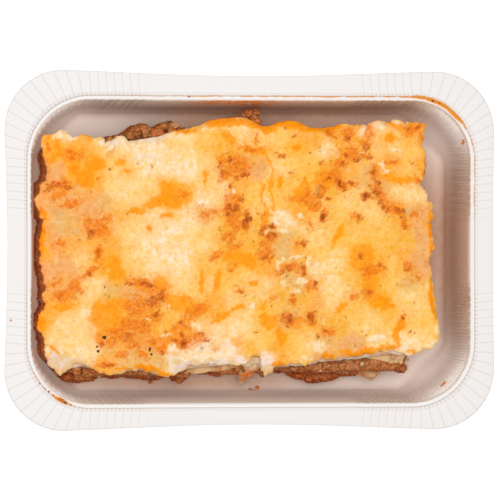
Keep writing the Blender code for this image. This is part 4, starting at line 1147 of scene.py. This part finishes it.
def make_tray():
    """The sheet of board: the rings joined, its middle closed, with the pleat number and the
    length along the profile as UV, and how deep inside the tray each point lies."""
    rings, lengths = tray_rings()
    columns = len(RAYS)
    points = np.concatenate([*rings, rings[0].mean(axis=0)[None]])
    inner_middle = len(points) - 1
    here, after = np.arange(columns), (np.arange(columns) + 1) % columns
    steps = (np.arange(len(rings) - 1) * columns)[:, None]
    quads = np.stack([here + steps, here + steps + columns, after + steps + columns, after + steps], axis=-1)
    triangles = np.stack([np.full(columns, inner_middle), here, after], axis=-1)
    u_here, u_after = PLEAT, np.roll(PLEAT, -1)
    u_after = np.where(np.abs(u_after - u_here) > 5.0, u_here, u_after)
    low, high = lengths[:-1, None] + 0.0 * u_here, lengths[1:, None] + 0.0 * u_here
    u_here, u_after = u_here + 0.0 * low, u_after + 0.0 * low
    quad_uv = np.stack(
        [np.stack(pair, axis=-1) for pair in ((u_here, low), (u_here, high), (u_after, high), (u_after, low))], axis=2
    )
    triangle_uv = np.zeros((columns, 3, 2))
    uv = np.concatenate([quad_uv.reshape(-1, 2), triangle_uv.reshape(-1, 2)])
    values = {
        "depth": smooth((RIM - BEAD_DROP - points[:, 2]) / 3.0),
        "pleated": np.concatenate([np.tile(PLEATED, len(rings)), [0.0]]),
        "corner": np.concatenate([np.tile(CORNERNESS, len(rings)), [0.0]]),
        "bounced": sum(
            amount * spread(*(points[:, :2] - MIDDLE[:2]).T, (patch,), 1.2, 0.0) for patch, amount in BOUNCES.items()
        ),
        **{name: spread(*(points[:, :2] - MIDDLE[:2]).T, patches, 1.2, 0.0) for name, patches in STAINS_AND_WARM_SHADE.items()},
    }
    tray = new_piece("pressed_tray", points, quads.reshape(-1, 4), triangles, None, values, uv)
    board = tray.modifiers.new("board thickness", "SOLIDIFY")
    board.thickness = BOARD * MM
    board.offset = -1.0
    board.use_even_offset = True
    board.material_offset = 1  # the outside has its own, unstained finish
    board.material_offset_rim = 1
    print("board from the floor's middle to the flange's edge:", np.round(lengths[-1], 1), "mm;", lengths.round(1))
    return tray, lengths


tray, profile_lengths = make_tray()
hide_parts("tray")
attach(tray, "root")

# %% [markdown]
# ## Finishes
# Every finish is a procedural node material. Writing nodes one by one is long, so two small
# classes do it: a wire that can be added and multiplied like a number, and a finish that makes
# nodes and ends in one Principled shader.

# %% A wire and a finish
class Wire:
    """An output of a shader node. Adding, multiplying and so on makes the math nodes."""

    def __init__(self, finish, socket):
        self.finish = finish
        self.socket = socket

    def math(self, operation, a, b):
        return self.finish.node("Math", {"operation": operation}, {0: a, 1: b})

    def __add__(self, other):
        return self.math("ADD", self, other)

    def __radd__(self, other):
        return self.math("ADD", other, self)

    def __sub__(self, other):
        return self.math("SUBTRACT", self, other)

    def __rsub__(self, other):
        return self.math("SUBTRACT", other, self)

    def __mul__(self, other):
        return self.math("MULTIPLY", self, other)

    def __rmul__(self, other):
        return self.math("MULTIPLY", other, self)

    def __truediv__(self, other):
        return self.math("DIVIDE", self, other)

    def __abs__(self):
        return self.math("ABSOLUTE", self, 0.0)

    def nearest_whole(self):
        return self.math("ROUND", self, 0.0)

    def step(self, low, high):
        """0 below the low value, 1 above the high one, with a soft step between."""
        settings = {"interpolation_type": "SMOOTHSTEP"}
        return self.finish.node("MapRange", settings, {"Value": self, "From Min": low, "From Max": high})


class Finish:
    """A material whose nodes are made by name, ending in a Principled shader."""

    def __init__(self, name):
        self.material = bpy.data.materials.new(name)
        self.material.use_nodes = True
        self.tree = self.material.node_tree
        self.shader = self.tree.nodes["Principled BSDF"]
        self.places = self.node("TexCoord", {}, {}, "Object")

    def node(self, kind, settings, inputs, output=0):
        """A new node: its settings first, then its inputs, each a wire or a constant."""
        made = self.tree.nodes.new("ShaderNode" + kind)
        for key, value in settings.items():
            setattr(made, key, value)
        for key, value in inputs.items():
            self.feed(made.inputs[key], value)
        return Wire(self, made.outputs[output])

    def feed(self, socket, value):
        if isinstance(value, Wire):
            self.tree.links.new(value.socket, socket)
        else:
            socket.default_value = value

    def noise(self, size, detail=3.0, places=None):
        """Noise from 0 to 1 with bumps of about a size in millimetres."""
        inputs = {"Vector": places or self.places, "Scale": 1.0 / (size * MM), "Detail": detail}
        return self.node("TexNoise", {}, inputs, "Fac")

    def dots(self, size, places=None):
        """Distance to the nearest of scattered points, in spacings of that size in millimetres."""
        return self.node("TexVoronoi", {}, {"Vector": places or self.places, "Scale": 1.0 / (size * MM)}, "Distance")

    def profile(self):
        """The two parts of the tray's own coordinates: the pleat's number and the length of board."""
        split = self.node("SeparateXYZ", {}, {0: self.node("UVMap", {"uv_map": "profile"}, {})})
        return split, Wire(self, split.socket.node.outputs[1])

    def vector(self, x, y, z):
        return self.node("CombineXYZ", {}, {0: x, 1: y, 2: z})

    def attribute(self, name, output="Fac"):
        return self.node("Attribute", {"attribute_name": name}, {}, output)

    def mix(self, amount, a, b):
        """Colour a where the amount is 0 and colour b where it is 1."""
        made = self.tree.nodes.new("ShaderNodeMix")
        made.data_type = "RGBA"
        a, b = (value if isinstance(value, Wire) else (*linear(value), 1.0) for value in (a, b))
        for index, value in ((0, amount), (6, a), (7, b)):
            self.feed(made.inputs[index], value)
        return Wire(self, made.outputs[2])

    def surface(self, colour, roughness, height, strength, distance=0.2, **constants):
        """Feeds the shader: colour, roughness and a bump, and whatever stays constant."""
        self.feed(self.shader.inputs["Base Color"], colour)
        self.feed(self.shader.inputs["Roughness"], roughness)
        bump_inputs = {"Height": height, "Strength": strength, "Distance": distance * MM}
        self.feed(self.shader.inputs["Normal"], self.node("Bump", {}, bump_inputs))
        for name, value in constants.items():
            self.shader.inputs[name.replace("_", " ")].default_value = value
        return self.material


# %% Finish of the cheese
def cheese_finish():
    """The painted tone, broken up by fine grain and pores; fat shines and toast is dry."""
    finish = Finish("baked cheese")
    tone = finish.attribute("tone", "Color")
    gloss = finish.attribute("gloss")
    grain = finish.noise(0.7)
    mottle = finish.noise(2.4)
    pores = finish.dots(1.3)
    colour = finish.mix((grain - 0.5).step(0.0, 0.25) * 0.34 * (1.0 - gloss), tone, "cream")
    colour = finish.mix((0.5 - grain).step(0.0, 0.25) * 0.4, colour, "amber")
    colour = finish.mix((0.5 - mottle).step(0.0, 0.25) * 0.25, colour, "orange")
    colour = finish.mix((0.13 - pores).step(0.0, 0.06) * (mottle - 0.45).step(0.0, 0.15) * 0.6, colour, "rust")
    roughness = 0.62 - 0.3 * gloss + 0.15 * grain
    height = grain * 0.5 + mottle + pores * 0.3
    return finish.surface(colour, roughness, height, 0.45, 0.25, Specular_IOR_Level=0.03)


def food_finish(name, speck_colour, roughness, grain_size, crumbly=0.0):
    """A layer's painted tone with finer specks, painted shade in the gaps between crumbs and a moist, uneven shine."""
    finish = Finish(name)
    tone = finish.attribute("tone", "Color")
    grain = finish.noise(grain_size)
    wet = finish.noise(4.0 * grain_size)
    colour = finish.mix((grain - 0.5).step(0.02, 0.2) * 0.4, tone, speck_colour)
    crumbs_of_it = finish.dots(1.8 * grain_size)
    colour = finish.mix((0.5 - grain).step(0.0, 0.15) * 0.6 * crumbly, colour, (236, 152, 84))
    # Painted shade in the gaps between crumbs.
    colour = finish.mix((crumbs_of_it - 0.45).step(0.0, 0.25) * crumbly, colour, (74, 32, 12))
    shine = roughness + 0.25 * (wet - 0.5)
    height = grain + wet - crumbs_of_it * crumbly * 2.0
    return finish.surface(colour, shine, height, 0.5, 0.3, Specular_IOR_Level=0.2)


cheese.data.materials.append(cheese_finish())
FOOD = {
    "white_sauce": food_finish("set white sauce", "sauce", 0.5, 0.8),
    "pasta": food_finish("baked pasta", "peach", 0.45, 0.9),
    "meat_sauce": food_finish("minced meat in sauce", (110, 54, 26), 0.45, 0.6, 0.4),
    "crumb": food_finish("dry crumbs", (190, 110, 60), 0.6, 0.4),
}
for name, *_, slot in LAYERS:
    layers[name].data.materials.append(FOOD[slot])
for piece, slot in LOOSE:
    piece.data.materials.append(FOOD["meat_sauce" if piece is lumps else "pasta" if slot == "pasta" else "crumb"])
print(len(bpy.data.materials), "materials")

# %% Finish of the board
# greige: painted shade down in the well, and an uneven tone on the outside
GREIGE_SHADE_AND_TONE = (226, 212, 201)
BOARD_WHITE = (241, 238, 236)
CREASE_SHADE = (205, 178, 160)
WARM_SHADE_AND_STAIN = (206, 148, 104)
OIL = (240, 158, 58)
SMEAR = (226, 128, 48)
FOLD_SHADE = (158, 122, 98)
FOLDS_IN_PLEAT = 2.5
FOOT_AT = float(profile_lengths[len(FLOOR_SHARES) + len(FILLET)])
TOP_AT, BEAD_AT, STEP_AT = (
    float(profile_lengths[len(FLOOR_SHARES) + len(FILLET) + len(WALL) + after]) for after in (-1, 1, len(BEAD) + 1)
)
BOUNCED = 0.4  # strength of the light that bounces on in the pale well after a render has cut it off


def board_finish():
    """White board, creased at the pleats and marked by the sauce, with painted shade down in the well and in its
    creases and folds, painted light up the corner walls, and a glow in the well for bounced light.
    """
    finish = Finish("white board")
    pleat, length = finish.profile()
    depth = finish.attribute("depth")
    pleated = finish.attribute("pleated")
    wander = finish.noise(6.0)
    patchy = finish.noise(2.2)
    fibre = finish.noise(0.5)

    # Creases run out along the flange; short ticks, two to a pleat, sit where it steps down. Both are painted as shade.
    from_crease = abs(pleat - pleat.nearest_whole()) * PITCH
    crease = (0.2 - from_crease).step(0.0, 0.18) * pleated * (length - (STEP_AT + 0.6)).step(0.0, 1.0)
    half = pleat * 2.0
    from_tick = abs(half - half.nearest_whole()) * PITCH / 2.0
    at_step = (1.1 - abs(length - (STEP_AT + 0.5))).step(0.0, 0.7)
    ticks = (0.34 - from_tick).step(0.0, 0.2) * pleated * at_step
    # Folds in the corner walls: a few to a pleat, wandering a little, some deeper than others, with painted shade in
    # their valleys.
    fold_number = pleat * FOLDS_IN_PLEAT + (wander - 0.5) * 1.6
    valley = abs(fold_number - fold_number.nearest_whole()) * 2.0
    in_corner = pleated * depth * (length - TOP_AT + 26.0).step(0.0, 14.0) * (patchy + wander - 0.7).step(0.0, 0.4)
    folds = (0.5 - valley).step(0.0, 0.5) * in_corner

    # Painted shade: the board turns greige down in the well, where the walls and the food shade it.
    colour = finish.mix(depth, BOARD_WHITE, GREIGE_SHADE_AND_TONE)
    # Painted shade: warm shade and reflected food colour on the board beside the food, partly the sauce's stain.
    colour = finish.mix(finish.attribute("warmth") * depth * (0.3 + 0.6 * patchy), colour, WARM_SHADE_AND_STAIN)
    corner = finish.attribute("corner")
    # Painted light: the corner walls grow whiter up towards their tops.
    lit_corner_wall = (length - (TOP_AT - 20.0)).step(0.0, 20.0) * corner
    colour = finish.mix(lit_corner_wall * 0.8, colour, BOARD_WHITE)
    colour = finish.mix(folds * 0.42, colour, FOLD_SHADE)
    colour = finish.mix(crease * 0.3 + ticks * 0.45, colour, CREASE_SHADE)
    # Painted shade: a darker line where the board steps down, and a fainter one just outside it.
    line = (0.35 - abs(length - STEP_AT)).step(0.0, 0.3) + (0.35 - abs(length - (STEP_AT + 1.5))).step(0.0, 0.3) * 0.5
    colour = finish.mix(line * 0.5, colour, CREASE_SHADE)
    oily = finish.attribute("oil")
    thick = finish.attribute("thick_oil")
    at_line = (0.8 + 0.8 * thick - abs(length - (STEP_AT - 0.2) + wander - 0.5)).step(0.0, 0.6)
    at_top = (0.8 - abs(length - (TOP_AT + 0.2) + wander - 0.5)).step(0.0, 0.6) * 0.8
    blots = (patchy - 0.42 + 0.14 * thick).step(0.0, 0.12)
    colour = finish.mix(oily * (at_line + at_top) * blots, colour, OIL)
    below_bead = (TOP_AT + 0.4 - length).step(0.0, 0.6)
    near_top = (length - (TOP_AT - 11.0 + 6.0 * (wander - 0.5))).step(0.0, 4.0)
    smeared = finish.attribute("smear") * near_top * (patchy + 0.5 * fibre - 0.62).step(0.0, 0.1)
    dripped = finish.attribute("drip") * (patchy + 0.5 * fibre - 0.66).step(0.0, 0.12) * 0.7
    colour = finish.mix((smeared + dripped) * below_bead * 0.85, colour, SMEAR)
    height = fibre * 0.2 + wander * 0.3 - crease + valley * 2.0 * in_corner
    # Painted light: the board in the well glows with its own colour at the wall's foot, up the corner walls and at the
    # listed bounces.
    foot = (9.0 - abs(length - FOOT_AT)).step(0.0, 9.0) * 0.22
    bounced = (foot + lit_corner_wall * 0.8 + finish.attribute("bounced")) * depth
    finish.feed(finish.shader.inputs["Emission Color"], finish.mix(bounced, (0, 0, 0), colour))
    return finish.surface(
        colour, 0.6 + 0.1 * fibre, height, 0.35, 0.2, Specular_IOR_Level=0.3, Emission_Strength=BOUNCED
    )


def outside_finish():
    """The board's unmarked outside: white, a little uneven, with a soft shadow in each crease."""
    finish = Finish("white board outside")
    pleat, length = finish.profile()
    wander = finish.noise(6.0)
    fibre = finish.noise(0.5)
    from_crease = abs(pleat - pleat.nearest_whole()) * PITCH
    crease = (0.35 - from_crease).step(0.0, 0.3) * finish.attribute("pleated")
    colour = finish.mix(wander * 0.5, BOARD_WHITE, GREIGE_SHADE_AND_TONE)
    colour = finish.mix(crease * 0.25, colour, CREASE_SHADE)
    height = fibre * 0.2 + wander * 0.3 - crease
    return finish.surface(colour, 0.6 + 0.1 * fibre, height, 0.35, 0.2, Specular_IOR_Level=0.3)


tray.data.materials.append(board_finish())
tray.data.materials.append(outside_finish())
print("bead at", round(float(BEAD_AT), 1), "step at", round(float(STEP_AT), 1))

# %% [markdown]
# ## The floor, the light and the camera
# The dish stands on a plain white floor under a broad soft light, and the camera looks down from
# high above, leaning a little to the left end so that the right wall of the tray shows.

# %% Floor
FLOOR_SIZE = 4.0
FLOOR_GLOW = 0.35  # a lit sweep, so that no shadow greys the white


def make_floor():
    points = np.array([(-1, -1, 0), (1, -1, 0), (1, 1, 0), (-1, 1, 0)], float) * FLOOR_SIZE / 2 / MM
    points[:, 2] = tray_low[2] - 0.05
    floor = new_piece("floor", points, np.array([[0, 1, 2, 3]]), np.zeros((0, 3), int))
    finish = Finish("white floor")
    speck = finish.noise(40.0)
    colour = finish.mix(speck * 0.2, (254, 254, 254), (250, 250, 250))
    finish.feed(finish.shader.inputs["Emission Color"], colour)
    floor.data.materials.append(
        finish.surface(colour, 0.9, speck, 0.05, 0.1, Specular_IOR_Level=0.1, Emission_Strength=FLOOR_GLOW)
    )
    return floor


floor = make_floor()

# %% Light and camera
SKY = 0.43
SOFTBOX_POWER = 12.4
SOFTBOX_PLACE = (-0.14, 0.08, 1.4)
SOFTBOX_SIZE = 0.8
VIEW_TILT = math.radians(8.5)  # from straight down towards the left end
VIEW_DISTANCE = 2.104
VIEW_LENS = 400.0

world = bpy.data.worlds.new("soft room")
bpy.context.scene.world = world
world.use_nodes = True
world.node_tree.nodes["Background"].inputs["Color"].default_value = (1.0, 0.995, 0.985, 1.0)
world.node_tree.nodes["Background"].inputs["Strength"].default_value = SKY

lamp = bpy.data.lights.new("softbox", "AREA")
lamp.energy = SOFTBOX_POWER
lamp.size = SOFTBOX_SIZE
softbox = bpy.data.objects.new("softbox", lamp)
bpy.context.scene.collection.objects.link(softbox)
softbox.location = SOFTBOX_PLACE
softbox.rotation_euler = (-Vector(SOFTBOX_PLACE)).to_track_quat("-Z", "Y").to_euler()

camera = bpy.data.objects.new("camera", bpy.data.cameras.new("camera"))
bpy.context.scene.collection.objects.link(camera)
bpy.context.scene.camera = camera
camera.data.lens = VIEW_LENS
camera.data.sensor_width = 36.0
target = Vector(((MIDDLE[0] - 0.27) * MM, (MIDDLE[1] + 0.1) * MM, RIM * MM))
back = Vector((-math.sin(VIEW_TILT), 0.0, math.cos(VIEW_TILT)))
right = Vector((math.cos(VIEW_TILT), 0.0, math.sin(VIEW_TILT)))
up = back.cross(right)
turn = Matrix((right, up, back)).transposed().to_4x4()
camera.matrix_world = Matrix.Translation(target + back * VIEW_DISTANCE) @ turn
camera.data.clip_end = 10.0
bpy.context.scene.view_settings.view_transform = "Standard"
